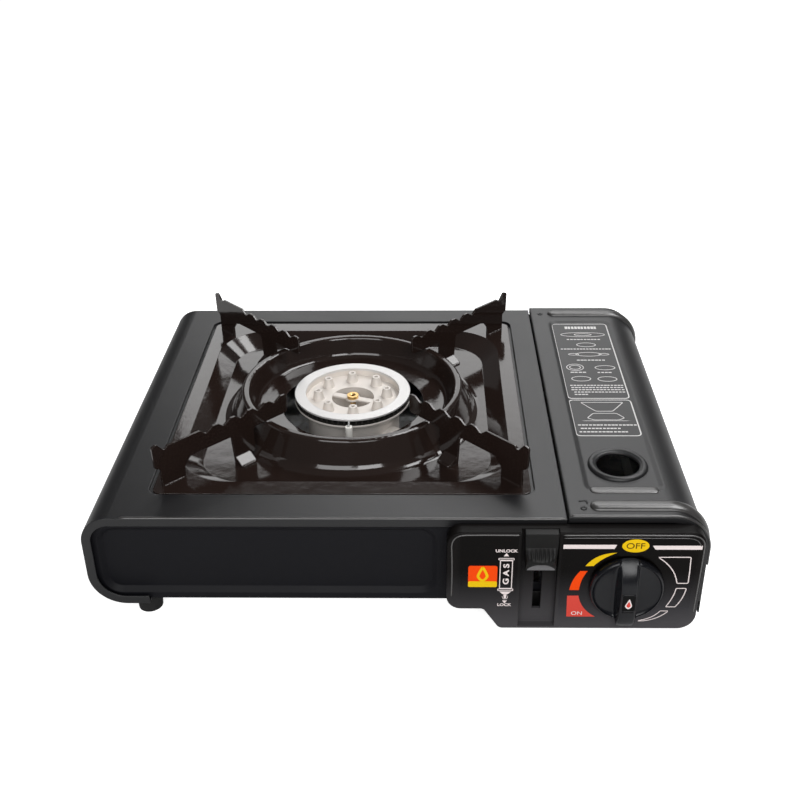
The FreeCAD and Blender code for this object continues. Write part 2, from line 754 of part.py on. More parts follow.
def make_partition():
    """Upright plate between the burner chamber and the cartridge, folded at its foot."""
    y0 = INSIDE_FRONT + SOFT_GAP
    y1 = INSIDE_BACK - SOFT_GAP
    wall = box(PARTITION_LEFT, PARTITION_RIGHT, y0, y1, BASE_FLOOR_TOP, PLATE_UNDERSIDE - SOFT_GAP)
    foot = box(PARTITION_LEFT - PARTITION_FOLD, PARTITION_LEFT, SLIDE_BACK_Y + MOVING_ROOM, y1,
               BASE_FLOOR_TOP, BASE_FLOOR_TOP + SHEET)
    bar_window = box(PARTITION_LEFT, PARTITION_RIGHT, PUSHER_BAR_FRONT - PUSH_TRAVEL - MOVING_ROOM,
                     PUSHER_BAR_BACK + MOVING_ROOM, BASE_FLOOR_TOP, BAR_BOTTOM + PUSHER_SHEET + HOLE_ROOM)
    pipe_hole = rod(PIPE_R + HOLE_ROOM, 4 * SHEET,
                    Vector(PARTITION_LEFT - SHEET, regulator_port_y(), GAS_LINE_Z), X_AXIS)
    lead_hole = rod(LEAD_R + HOLE_ROOM, 4 * SHEET,
                    Vector(PARTITION_LEFT - SHEET, lead_exit().y, lead_exit().z), X_AXIS)
    return fused([wall, foot]).cut([bar_window, pipe_hole, lead_hole])


def regulator_port_y():
    """Where the gas pipe leaves the regulator, along Y."""
    return REGULATOR_FRONT_Y + REGULATOR_LENGTH / 2


def make_left_feet():
    """Two tall rubber feet under the main floor, each with a recess below."""
    feet = []
    for y in (FOOT_INSET_Y, BODY_DEPTH - FOOT_INSET_Y):
        feet.append(foot(-HALF_WIDTH + FOOT_INSET_X, y, FOOT_HEIGHT))
    return Part.Compound(feet)


def foot(x, y, height):
    """One round foot with a shallow recess in its sole."""
    radius = FOOT_DIAMETER / 2
    body = cone(radius - FOOT_TAPER, radius, height, Vector(x, y, 0))
    recess = rod(radius * FOOT_RECESS_SHARE, FOOT_RECESS, Vector(x, y, 0))
    return body.cut(recess)


def make_right_feet():
    """Four short feet under the cartridge bay."""
    x_left = BAY_LEFT + SHORT_FOOT_INSET_X / 2
    x_right = BAY_RIGHT - SHORT_FOOT_INSET_X / 2
    feet = []
    for y in (FOOT_INSET_Y, BODY_DEPTH - FOOT_INSET_Y):
        for x in (x_left, x_right):
            feet.append(foot(x, y, BAY_FLOOR_Z))
    return Part.Compound(feet)


def make_drip_pan():
    """Enamelled pan: flat rim, drawn well with rounded corners, and a raised collar round the burner."""
    rim = rectangle_block(PAN_HALF_X, PAN_HALF_Y, PAN_CORNER, pan_centre(PAN_RIM_BOTTOM), PAN_SHEET)
    outer = lofted([
        rectangle_wire(WELL_RIM_HALF + PAN_SHEET, WELL_RIM_HALF + PAN_SHEET, WELL_RIM_RADIUS + PAN_SHEET,
                       pan_centre(PAN_RIM_TOP)),
        rectangle_wire(WELL_FLOOR_HALF + PAN_SHEET, WELL_FLOOR_HALF + PAN_SHEET,
                       WELL_FLOOR_RADIUS + PAN_SHEET, pan_centre(WELL_FLOOR_Z - PAN_SHEET))])
    inner = lofted([
        rectangle_wire(WELL_RIM_HALF, WELL_RIM_HALF, WELL_RIM_RADIUS, pan_centre(PAN_RIM_TOP)),
        rectangle_wire(WELL_FLOOR_HALF, WELL_FLOOR_HALF, WELL_FLOOR_RADIUS, pan_centre(WELL_FLOOR_Z))])
    well = rod(COLLAR_BASE_R, 4 * PAN_SHEET, pan_centre(WELL_FLOOR_Z - 2 * PAN_SHEET))
    dish = rim.fuse(outer).cut([inner, well])
    line = [(COLLAR_BASE_R + PAN_SHEET / 2, WELL_FLOOR_Z), (COLLAR_FOOT_R, WELL_FLOOR_Z),
            (COLLAR_CREST_OUTER, COLLAR_CREST_Z), (COLLAR_CREST_INNER, COLLAR_CREST_Z),
            (COLLAR_STEP_R, COLLAR_STEP_Z), (PAN_HOLE_R, PAN_HOLE_Z)]
    rounds = [0, COLLAR_FOOT_ROUND, COLLAR_CREST_ROUND, COLLAR_CREST_ROUND, COLLAR_STEP_ROUND, 0]
    collar = turned(line, rounds, PAN_SHEET)
    return dish.fuse(collar).removeSplitter()


def blade_top_edge():
    """The wave of rounded teeth along the blade's inner top edge, from the outside inwards."""
    crest = BLADE_EDGE_Z - TOOTH_CREST_DROP
    points = []
    for index in range(TOOTH_COUNT):
        r = TOOTH_FIRST_R - index * TOOTH_PITCH
        points.append((r + TOOTH_STEEP_RUN, crest if index else BLADE_EDGE_Z))
        points.append((r, BLADE_EDGE_Z - TOOTH_DEPTH))
        points.append((r - TOOTH_EASY_RUN, crest))
    return points + [(BLADE_INNER_END, crest)]


def blade(tab_side):
    """One toothed trivet blade in the plane y = 0, with the foot welded to the pan's floor."""
    leg_bottom = WELL_FLOOR_Z
    heel = BLADE_TIP_R - BLADE_HEEL_SETBACK
    notch = BLADE_TIP_R - BLADE_HOOK_SETBACK
    leg_start = BLADE_LEG_INNER + BLADE_LEG_CHAMFER
    outer = [
        (heel, PAN_RIM_TOP), (heel, BLADE_HEEL_Z - BLADE_HEEL_STEP),
        (BLADE_TIP_R, BLADE_HEEL_Z + BLADE_HEEL_STEP),
        (BLADE_TIP_R + BLADE_LEAN, BLADE_TIP_Z - BLADE_HEEL_STEP), (heel + BLADE_LEAN, BLADE_TIP_Z),
        (notch, BLADE_EDGE_Z - BLADE_HOOK_DEPTH), (notch - BLADE_HOOK_RUN, BLADE_EDGE_Z),
    ]
    inner = [
        (BLADE_INNER_END + BLADE_LEAN, BLADE_ARCH_TOP_Z),
        (BLADE_LEG_INNER, BLADE_ARCH_TOP_Z), (BLADE_LEG_INNER, leg_bottom + BLADE_LEG_CHAMFER),
        (leg_start, leg_bottom), (BLADE_LEG_OUTER, leg_bottom),
        (BLADE_ARCH_INNER - BLADE_ARCH_RUN, BLADE_ARCH_TOP_Z), (BLADE_ARCH_OUTER, BLADE_ARCH_TOP_Z),
        (BLADE_FOOT_INNER, PAN_RIM_TOP + BLADE_FOOT_RISE), (BLADE_FOOT_INNER, PAN_RIM_TOP),
    ]
    points = [Vector(r, -BLADE_SHEET / 2, z) for r, z in outer + blade_top_edge() + inner]
    rounds = BLADE_OUTER_ROUNDS + TOOTH_ROUNDS * TOOTH_COUNT + BLADE_INNER_ROUNDS
    plate = Part.Face(rounded_wire(points, rounds, True)).extrude(Vector(0, BLADE_SHEET, 0))
    section = [(0, 0), (TAB_REACH, 0), (TAB_REACH, TAB_EDGE), (BLADE_SHEET / 2, TAB_HEIGHT), (0, TAB_HEIGHT)]
    corners = [Vector(leg_start, tab_side * across, leg_bottom + up) for across, up in section]
    foot_face = Part.Face(rounded_wire(corners, [0] * len(corners), True))
    return fused([plate, foot_face.extrude(Vector(BLADE_LEG_OUTER - leg_start, 0, 0))])


def make_blade(degrees, tab_side):
    """A trivet blade turned to one corner of the pan, its foot on the side named."""
    piece = blade(tab_side)
    piece.translate(pan_centre(0))
    return around_burner(piece, degrees)


def port_ring():
    """Ring of teeth with a gas port between each two, as one raised outline."""
    step = 2 * math.pi / PORT_COUNT
    root = PORT_RING_OUTER - PORT_TOOTH_DEPTH
    edges = []

    def place(radius, angle):
        return pan_centre(PORT_BOTTOM_Z) + Vector(math.cos(angle), math.sin(angle), 0) * radius

    for index in range(PORT_COUNT):
        start = index * step
        edge = start + step * (1 - PORT_SHARE)
        end = start + step
        edges.append(Part.Arc(place(PORT_RING_OUTER, start), place(PORT_RING_OUTER, (start + edge) / 2),
                              place(PORT_RING_OUTER, edge)).toShape())
        edges.append(Part.LineSegment(place(PORT_RING_OUTER, edge), place(root, edge)).toShape())
        edges.append(Part.Arc(place(root, edge), place(root, (edge + end) / 2), place(root, end)).toShape())
        edges.append(Part.LineSegment(place(root, end), place(PORT_RING_OUTER, end)).toShape())
    height = PORT_HEIGHT - PORT_ROOF
    disc = Part.Face(Part.Wire(edges)).extrude(Vector(0, 0, height))
    return disc.cut(rod(PORT_RING_INNER, height, pan_centre(PORT_BOTTOM_Z)))


def make_burner_cap():
    """Cast burner head: bright ring, ring of gas ports, sunk dish with hollow bosses and a middle hole."""
    ring = pipe(BURNER_RING_OUTER, BURNER_RING_INNER, BURNER_RING_SHEET,
                pan_centre(BURNER_TOP_Z - BURNER_RING_SHEET))
    roof_bottom = pan_centre(PORT_BOTTOM_Z + PORT_HEIGHT - PORT_ROOF)
    roof = pipe(PORT_RING_OUTER, PORT_RING_INNER, PORT_ROOF, roof_bottom)
    inner_wall = pipe(PORT_RING_INNER, BURNER_RING_INNER, DISH_DROP + DISH_SHEET - BURNER_RING_SHEET,
                      pan_centre(DISH_TOP_Z - DISH_SHEET))
    dish = pipe(BURNER_RING_INNER, DISH_HOLE_R, DISH_SHEET, pan_centre(DISH_TOP_Z - DISH_SHEET))
    bosses = []
    holes = []
    for index in range(BOSS_COUNT):
        angle = math.radians(360 * index / BOSS_COUNT + BOSS_TURN)
        foot_point = pan_centre(DISH_TOP_Z) + Vector(math.cos(angle), math.sin(angle), 0) * BOSS_CIRCLE
        bosses.append(cone(BOSS_BASE_R, BOSS_TOP_R, BOSS_HEIGHT, foot_point))
        holes.append(rod(BOSS_HOLE_R, BOSS_HEIGHT + 2 * DISH_SHEET, foot_point - Z_AXIS * DISH_SHEET))
    head = ring.fuse([roof, inner_wall, dish] + bosses).cut(holes)
    return head.fuse(port_ring())


def make_burner_body():
    """Cast burner bowl: seat flange, outer wall, inner chimney, floor and the stub for the mixing tube."""
    dish_bottom = DISH_TOP_Z - DISH_SHEET
    inside = BURNER_BODY_R - BURNER_WALL
    chimney = DISH_HOLE_R + BURNER_WALL
    seat = PORT_RING_INNER + PLAY
    floor_top = BURNER_BODY_BOTTOM + BURNER_WALL
    outline = [
        (DISH_HOLE_R, BURNER_BODY_BOTTOM), (BURNER_BODY_R, BURNER_BODY_BOTTOM),
        (BURNER_BODY_R, BURNER_SEAT_Z - BURNER_FLARE), (BURNER_RING_OUTER, BURNER_SEAT_Z),
        (BURNER_RING_OUTER, PORT_BOTTOM_Z), (seat, PORT_BOTTOM_Z), (seat, dish_bottom - SOFT_GAP),
        (inside, dish_bottom - SOFT_GAP), (inside, floor_top), (chimney, floor_top),
        (chimney, dish_bottom), (DISH_HOLE_R, dish_bottom),
    ]
    points = [Vector(PAN_CENTRE_X + r, PAN_CENTRE_Y, z) for r, z in outline]
    section = Part.Face(rounded_wire(points, [0] * len(points), True))
    bowl = section.revolve(Vector(PAN_CENTRE_X, PAN_CENTRE_Y, 0), Z_AXIS, 360)
    reach = BURNER_BODY_R - chimney - MIXER_STUB_STOP
    start = BURNER_AXIS - MIXER_WAY * (BURNER_BODY_R + MIXER_STUB_LENGTH)
    stub = rod(MIXER_OUTER_R + MIXER_STUB_WALL, MIXER_STUB_LENGTH + reach, start, MIXER_WAY)
    stub = stub.cut(rod(inside, 2 * BURNER_BODY_BOTTOM, pan_centre(0)))
    return bowl.fuse(stub).cut(rod(MIXER_OUTER_R, MIXER_STUB_LENGTH + reach, start, MIXER_WAY))


def make_burner_bridge():
    """Flat bar across the middle hole, held by the nut."""
    top = DISH_TOP_Z - DISH_SHEET / 2 + BRIDGE_SHEET / 2
    reach = DISH_HOLE_R - PLAY
    bar = box(PAN_CENTRE_X - DISH_HOLE_R, PAN_CENTRE_X + DISH_HOLE_R, PAN_CENTRE_Y - BRIDGE_WIDTH / 2,
              PAN_CENTRE_Y + BRIDGE_WIDTH / 2, top - BRIDGE_SHEET, top)
    bar = bar.common(rod(reach, BRIDGE_SHEET, pan_centre(top - BRIDGE_SHEET)))
    pad = rod(NUT_R + BRIDGE_PAD_MARGIN, BRIDGE_SHEET, pan_centre(top - BRIDGE_SHEET))
    hole = rod(STUD_R, BRIDGE_SHEET, pan_centre(top - BRIDGE_SHEET))
    return around_burner(fused([bar, pad]).cut(hole), BRIDGE_ANGLE)


def make_burner_nut():
    """Brass nut and hollow stud in the middle of the bridge."""
    bridge_top = DISH_TOP_Z - DISH_SHEET / 2 + BRIDGE_SHEET / 2
    nut = rod(NUT_R, NUT_HEIGHT, pan_centre(bridge_top))
    stud_foot = pan_centre(bridge_top - STUD_LENGTH)
    stud = rod(STUD_R, STUD_LENGTH, stud_foot)
    hole = rod(STUD_HOLE_R, NUT_HEIGHT + STUD_LENGTH, stud_foot)
    lip = pan_centre(bridge_top + NUT_HEIGHT - NUT_DIMPLE)
    dimple = cone(STUD_HOLE_R, STUD_R, NUT_DIMPLE, lip)
    return fused([nut, stud]).cut([hole, dimple])


def make_mixing_tube():
    """Steel venturi tube from the flared air inlet at the nozzle to the burner's stub."""
    start = GAS_CORNER + MIXER_WAY * MIXER_START
    end_span = MIXER_SPAN - BURNER_BODY_R - MIXER_START
    bore_r = MIXER_OUTER_R - MIXER_WALL
    outer = [rod(MIXER_OUTER_R, end_span - MIXER_FLARE_LENGTH, start + MIXER_WAY * MIXER_FLARE_LENGTH,
                 MIXER_WAY),
             cone(MIXER_FLARE_R, MIXER_OUTER_R, MIXER_FLARE_LENGTH, start, MIXER_WAY)]
    inner = [rod(bore_r, end_span, start, MIXER_WAY),
             cone(MIXER_FLARE_R - MIXER_WALL, bore_r, MIXER_FLARE_LENGTH, start, MIXER_WAY)]
    return fused(outer).cut(inner)


def make_gas_nozzle():
    """Brass jet that points into the flare, on the end of the gas pipe."""
    start = GAS_CORNER + MIXER_WAY * NOZZLE_START
    straight = NOZZLE_LENGTH - NOZZLE_TIP_LENGTH
    body = rod(NOZZLE_R, straight, start, MIXER_WAY)
    tip = cone(NOZZLE_R, NOZZLE_TIP_R, NOZZLE_TIP_LENGTH, start + MIXER_WAY * straight, MIXER_WAY)
    jet = rod(JET_HOLE_R, NOZZLE_LENGTH, start, MIXER_WAY)
    seat = rod(PIPE_BORE_R, NOZZLE_LENGTH / 2, start, MIXER_WAY)
    return fused([body, tip]).cut([jet, seat])


def make_gas_pipe():
    """Steel pipe from the regulator through the partition and round to the nozzle."""
    start = Vector(CARTRIDGE_X - REGULATOR_R, regulator_port_y(), GAS_LINE_Z)
    points = [start, Vector(PIPE_BEND_X, start.y, GAS_LINE_Z), GAS_CORNER,
              GAS_CORNER + MIXER_WAY * NOZZLE_START]
    radii = [0, PIPE_BEND, PIPE_BEND, 0]
    return tube_along(points, radii, PIPE_R).cut(tube_along(points, radii, PIPE_BORE_R))


def make_nozzle_bracket():
    """Folded plate that holds the nozzle and the tube's flare at one distance."""
    axis = GAS_CORNER + MIXER_WAY * (NOZZLE_START + NOZZLE_GRIP)
    side = MIXER_WAY.cross(Z_AXIS)
    width = 2 * MIXER_OUTER_R
    plate = Part.makeBox(width, SHEET, GAS_LINE_Z + MIXER_OUTER_R - BASE_FLOOR_TOP)
    foot_plate = Part.makeBox(width, BRACKET_FOOT, SHEET)
    bracket = fused([plate, foot_plate])
    turn = math.degrees(math.atan2(side.y, side.x))
    bracket.translate(Vector(-MIXER_OUTER_R, 0, 0))
    bracket.rotate(Vector(0, 0, 0), Z_AXIS, turn)
    bracket.translate(Vector(axis.x, axis.y, BASE_FLOOR_TOP))
    hole = rod(NOZZLE_R, width, axis - MIXER_WAY * width / 2, MIXER_WAY)
    return bracket.cut(hole)


def make_burner_bracket():
    """Steel strap that carries the burner above the main floor."""
    top = BURNER_BODY_BOTTOM
    half_y = BRACKET_WIDTH / 2
    y0 = PAN_CENTRE_Y - half_y
    y1 = PAN_CENTRE_Y + half_y
    left = PAN_CENTRE_X - BRACKET_HALF
    right = PAN_CENTRE_X + BRACKET_HALF
    line = [(right + BRACKET_FOOT, BASE_FLOOR_TOP + BRACKET_SHEET), (right, BASE_FLOOR_TOP + BRACKET_SHEET),
            (right, top), (left, top), (left, BASE_FLOOR_TOP + BRACKET_SHEET),
            (left - BRACKET_FOOT, BASE_FLOOR_TOP + BRACKET_SHEET)]
    strap = sheet_along_y(line, BRACKET_ROUNDS, BRACKET_SHEET, y0, y1)
    hole = rod(DISH_HOLE_R / 3, 4 * BRACKET_SHEET, pan_centre(top - 2 * BRACKET_SHEET))
    return strap.cut(hole)


def make_heat_shield():
    """Zinc-plated plate on the floor below the burner, between the bracket's legs."""
    return rectangle_block(SHIELD_HALF_X, SHIELD_HALF_Y, SHIELD_CORNER, pan_centre(BASE_FLOOR_TOP), SHEET)


def make_electrode():
    """White ceramic insulator at the front of the burner."""
    start = Vector(PAN_CENTRE_X, ELECTRODE_Y, ELECTRODE_BOTTOM)
    length = ELECTRODE_TOP - ELECTRODE_BOTTOM
    body = pipe(ELECTRODE_R, ELECTRODE_TIP_R, length, start)
    bead = pipe(ELECTRODE_R + ELECTRODE_BEAD, ELECTRODE_R, ELECTRODE_BEAD_HEIGHT,
                start + Z_AXIS * (length / 3))
    return fused([body, bead])


def make_electrode_wire():
    """Spark wire through the insulator, bent towards the ports at its top."""
    top = ELECTRODE_TOP + ELECTRODE_TIP_RISE
    points = [Vector(PAN_CENTRE_X, ELECTRODE_Y, ELECTRODE_BOTTOM), Vector(PAN_CENTRE_X, ELECTRODE_Y, top),
              Vector(PAN_CENTRE_X, ELECTRODE_Y + ELECTRODE_TIP_REACH, top)]
    return tube_along(points, [0, ELECTRODE_TIP_BEND, 0], ELECTRODE_TIP_R)


def make_electrode_clip():
    """Thin steel arm from the burner's bowl that grips the insulator."""
    z = ELECTRODE_BOTTOM + (ELECTRODE_TOP - ELECTRODE_BOTTOM) / 6
    y0 = ELECTRODE_Y - ELECTRODE_R - CLIP_SHEET
    arm = box(PAN_CENTRE_X - CLIP_HALF, PAN_CENTRE_X + CLIP_HALF, y0, PAN_CENTRE_Y, z, z + CLIP_SHEET)
    bowl = rod(BURNER_BODY_R, 4 * CLIP_SHEET, pan_centre(z - CLIP_SHEET))
    hole = rod(ELECTRODE_R, 4 * CLIP_SHEET, Vector(PAN_CENTRE_X, ELECTRODE_Y, z - CLIP_SHEET))
    return arm.cut([bowl, hole])


def lead_exit():
    """Where the spark lead leaves the igniter, on its left side."""
    return Vector(IGNITER_X, IGNITER_FRONT + IGNITER_DEPTH - LEAD_INSET, IGNITER_BOTTOM + IGNITER_HEIGHT / 2)


def make_igniter():
    """Piezo igniter block beside the regulator, with the socket of its spark lead."""
    block = box(IGNITER_X, IGNITER_X + IGNITER_WIDTH, IGNITER_FRONT, IGNITER_FRONT + IGNITER_DEPTH,
                IGNITER_BOTTOM, IGNITER_BOTTOM + IGNITER_HEIGHT)
    striker = rod(IGNITER_WIDTH / 2 - IGNITER_ROOM, IGNITER_FRONT - INSIDE_FRONT,
                  Vector(IGNITER_X + IGNITER_WIDTH / 2, INSIDE_FRONT, lead_exit().z), Y_AXIS)
    return fused([block, striker])


def make_ignition_lead():
    """Insulated spark lead from the igniter along the floor and up to the insulator."""
    start = lead_exit()
    low = BASE_FLOOR_TOP + LEAD_R + SOFT_GAP
    drop = Vector(start.x - LEAD_RUN - LEAD_DROP_RUN, start.y + LEAD_TURN_Y, low)
    near = Vector(PAN_CENTRE_X + LEAD_NEAR, ELECTRODE_Y - LEAD_NEAR - LEAD_RISE, low + LEAD_RISE)
    half_way = Vector((drop.x + near.x) / 2, drop.y + LEAD_WAY_Y, low)
    points = [start, Vector(start.x - LEAD_RUN, start.y, start.z), drop, half_way, near,
              Vector(PAN_CENTRE_X, ELECTRODE_Y, low + LEAD_LIFT),
              Vector(PAN_CENTRE_X, ELECTRODE_Y, ELECTRODE_BOTTOM)]
    return tube_along(points, LEAD_BENDS, LEAD_R)


def make_regulator_body():
    """Die-cast pressure regulator behind the knob, with its mounting flange and spindle bore."""
    axis = Vector(CARTRIDGE_X, REGULATOR_FRONT_Y, CARTRIDGE_Z)
    drum = rod(REGULATOR_R, REGULATOR_LENGTH, axis, Y_AXIS)
    half = REGULATOR_FLANGE_WIDTH / 2
    tall = REGULATOR_FLANGE_HEIGHT / 2
    flange = box(CARTRIDGE_X - half, CARTRIDGE_X + half, REGULATOR_FRONT_Y,
                 REGULATOR_FRONT_Y + REGULATOR_FLANGE, CARTRIDGE_Z - tall, CARTRIDGE_Z + tall)
    stand_off = REGULATOR_FRONT_Y - INSIDE_FRONT
    spacers = [rod(SCREW_HEAD_R, stand_off, Vector(x, INSIDE_FRONT, CARTRIDGE_Z), Y_AXIS)
               for x in regulator_screw_xs()]
    spindle = rod(SPINDLE_R + PLAY, SPINDLE_DEPTH, Vector(KNOB_X, REGULATOR_FRONT_Y, KNOB_Z), Y_AXIS)
    port = rod(PIPE_R, REGULATOR_R, Vector(CARTRIDGE_X - REGULATOR_R, regulator_port_y(), GAS_LINE_Z), X_AXIS)
    igniter_room = box(IGNITER_X - IGNITER_ROOM, IGNITER_X + IGNITER_WIDTH,
                       REGULATOR_FRONT_Y - IGNITER_ROOM, SOCKET_FACE_Y,
                       IGNITER_BOTTOM - IGNITER_ROOM, IGNITER_BOTTOM + IGNITER_HEIGHT)
    return fused([drum, flange] + spacers).cut([spindle, port, igniter_room])


def regulator_screw_xs():
    """The two screws of the regulator's flange, along X."""
    inset = REGULATOR_FLANGE_WIDTH / 2 - FLANGE_SCREW_INSET
    return (CARTRIDGE_X - inset, CARTRIDGE_X + inset)


def make_regulator_cap():
    """Pressed cap over the regulator's diaphragm, on its top."""
    base = Vector(CARTRIDGE_X, regulator_port_y(), CARTRIDGE_Z + REGULATOR_R - REGULATOR_CAP_LENGTH)
    cap = rod(REGULATOR_CAP_R, 2 * REGULATOR_CAP_LENGTH, base)
    drum = rod(REGULATOR_R, REGULATOR_LENGTH, Vector(CARTRIDGE_X, REGULATOR_FRONT_Y, CARTRIDGE_Z), Y_AXIS)
    return cap.cut(drum)


def make_cartridge_socket():
    """Socket ring that takes the cartridge's collar, with the guide tab for the collar's notch."""
    start = Vector(CARTRIDGE_X, SOCKET_BACK_Y, CARTRIDGE_Z)
    outer = rod(SOCKET_BORE_R + SOCKET_WALL, SOCKET_DEPTH, start, Y_AXIS)
    bore = rod(SOCKET_BORE_R, SOCKET_DEPTH, start + Y_AXIS * SOCKET_BASE, Y_AXIS)
    stem = rod(SOCKET_STEM_R, SOCKET_DEPTH, start, Y_AXIS)
    tab_z = CARTRIDGE_Z + SOCKET_BORE_R + SOCKET_WALL
    tab = box(CARTRIDGE_X - GUIDE_TAB_WIDTH / 2, CARTRIDGE_X + GUIDE_TAB_WIDTH / 2, SOCKET_BACK_Y,
              SOCKET_FACE_Y + GUIDE_TAB_REACH, tab_z - GUIDE_TAB_SINK, tab_z + GUIDE_TAB_RISE)
    return fused([outer.cut([bore, stem]), tab])


def make_valve_spindle():
    """Valve spindle with the cam that trips the igniter, from inside the knob into the regulator."""
    front_y = CONTROL_FRONT_Y - KNOB_GAP - SPINDLE_SEAT + PLAY
    end_y = REGULATOR_FRONT_Y + SPINDLE_DEPTH - SPINDLE_END_ROOM
    shaft = rod(SPINDLE_R, end_y - front_y, Vector(KNOB_X, front_y, KNOB_Z), Y_AXIS)
    cam_y = REGULATOR_FRONT_Y - CAM_LENGTH - SOFT_GAP
    cam = rod(CAM_R, CAM_LENGTH, Vector(KNOB_X, cam_y, KNOB_Z), Y_AXIS)
    tooth = box(KNOB_X - CAM_TOOTH, KNOB_X, cam_y, cam_y + CAM_LENGTH, KNOB_Z, KNOB_Z + CAM_R + CAM_TOOTH)
    return fused([shaft, cam, tooth])


def control_outline(inset):
    """The control panel's outline, drawn in from its edge by a distance."""
    points = [
        (CONTROL_LEFT + inset, CONTROL_LEFT_BOTTOM + inset),
        (CONTROL_STEP_X + inset, CONTROL_LEFT_BOTTOM + inset),
        (CONTROL_STEP_X + CONTROL_STEP_RUN + inset, CONTROL_BOTTOM + inset),
        (CONTROL_RIGHT - inset, CONTROL_BOTTOM + inset),
        (CONTROL_RIGHT - inset, CONTROL_TOP - inset),
        (CONTROL_LEFT + inset, CONTROL_TOP - inset),
    ]
    round_out = CONTROL_CORNER - inset
    return points, [round_out, STEP_ROUND_TOP + inset, STEP_ROUND_FOOT - inset / 2, LOWER_CORNER - inset,
                    round_out, round_out]


def edges_at_y(shape, y):
    """The edges of a shape that lie in the upright plane at y."""
    return [edge for edge in shape.Edges
            if abs(edge.BoundBox.YMin - y) + abs(edge.BoundBox.YMax - y) < SAME_PLACE]


def make_control_panel():
    """Moulded plastic control panel with the lever channel, lever slot, spindle hole and screw bosses."""
    points, rounds = control_outline(0)
    shell = outline_xz(points, rounds, CONTROL_FRONT_Y, CONTROL_BACK_Y)
    front_edges = edges_at_y(shell, CONTROL_FRONT_Y)
    shell = shell.makeFillet(CONTROL_EDGE_ROUND, front_edges)
    points, rounds = control_outline(CONTROL_WALL)
    hollow = outline_xz(points, rounds, CONTROL_FRONT_Y + CONTROL_WALL, CONTROL_BACK_Y)
    channel_back = CONTROL_FRONT_Y + CHANNEL_DEPTH + CONTROL_WALL
    inner_face = CONTROL_FRONT_Y + CONTROL_WALL
    channel_body = box(CHANNEL_LEFT - CONTROL_WALL, CHANNEL_RIGHT + CONTROL_WALL, inner_face,
                       channel_back, CONTROL_BOTTOM + CONTROL_WALL, CONTROL_TOP - CONTROL_WALL)
    channel = box(CHANNEL_LEFT, CHANNEL_RIGHT, CONTROL_FRONT_Y - CONTROL_WALL,
                  CONTROL_FRONT_Y + CHANNEL_DEPTH, CHANNEL_BOTTOM, CONTROL_TOP + CONTROL_WALL)
    slot = box(LEVER_X - LEVER_SLOT_WIDTH / 2, LEVER_X + LEVER_SLOT_WIDTH / 2, CONTROL_FRONT_Y, 0,
               LEVER_SLOT_BOTTOM, LEVER_SLOT_TOP)
    spindle = rod(SPINDLE_R + HOLE_ROOM, CONTROL_WALL * 2,
                  Vector(KNOB_X, CONTROL_FRONT_Y - CONTROL_WALL / 2, KNOB_Z), Y_AXIS)
    boss_length = PANEL_FRONT_Y - inner_face
    bosses = [rod(CONTROL_BOSS_R, boss_length, Vector(x, inner_face, z), Y_AXIS)
              for x, z in control_boss_places()]
    pilot = [rod(CONTROL_SCREW_R, boss_length - HOLE_ROOM, Vector(x, inner_face + HOLE_ROOM, z), Y_AXIS)
             for x, z in control_boss_places()]
    body = shell.cut(hollow).fuse([channel_body] + bosses)
    return body.cut([channel, slot, spindle] + pilot)


def make_control_screws():
    """Self-tapping screws from inside the body into the control panel's bosses."""
    start_y = INSIDE_FRONT
    screws = []
    for x, z in control_boss_places():
        head = rod(SCREW_HEAD_R, SCREW_HEAD, Vector(x, start_y, z), Y_AXIS)
        shank = rod(SCREW_R, start_y - CONTROL_BACK_Y + SCREW_BITE, Vector(x, CONTROL_BACK_Y - SCREW_BITE, z),
                    Y_AXIS)
        screws.append(fused([head, shank]))
    return Part.Compound(screws)


def make_knob():
    """Control knob: low drum with a hollow each side of a rounded grip bar that runs past its lower edge."""
    back = CONTROL_FRONT_Y - KNOB_GAP
    face_middle = Vector(KNOB_X, KNOB_FACE_Y, KNOB_Z)
    disc = rod(KNOB_R, back - KNOB_FACE_Y, face_middle, Y_AXIS)
    disc = disc.makeFillet(KNOB_RIM_ROUND, edges_at_y(disc, KNOB_FACE_Y))
    hollow = rod(KNOB_R - KNOB_RIM, KNOB_HOLLOW, face_middle, Y_AXIS)
    left = KNOB_X - KNOB_GRIP_WIDTH / 2
    tail_z = KNOB_Z - KNOB_R - KNOB_GRIP_TAIL
    top_z = KNOB_Z + KNOB_GRIP_TOP
    front = KNOB_FACE_Y - KNOB_GRIP_REACH
    end = KNOB_FACE_Y - KNOB_END_REACH
    side = [Vector(left, back, tail_z), Vector(left, end, tail_z),
            Vector(left, front, KNOB_Z - KNOB_FLAT_BELOW), Vector(left, front, KNOB_Z + KNOB_FLAT_ABOVE),
            Vector(left, end, top_z), Vector(left, back, top_z)]
    grip = Part.Face(rounded_wire(side, KNOB_GRIP_ROUNDS, True)).extrude(Vector(KNOB_GRIP_WIDTH, 0, 0))
    bore = rod(SPINDLE_R + PLAY, SPINDLE_SEAT, Vector(KNOB_X, back - SPINDLE_SEAT, KNOB_Z), Y_AXIS)
    return fused([disc.cut(hollow), grip]).cut(bore)


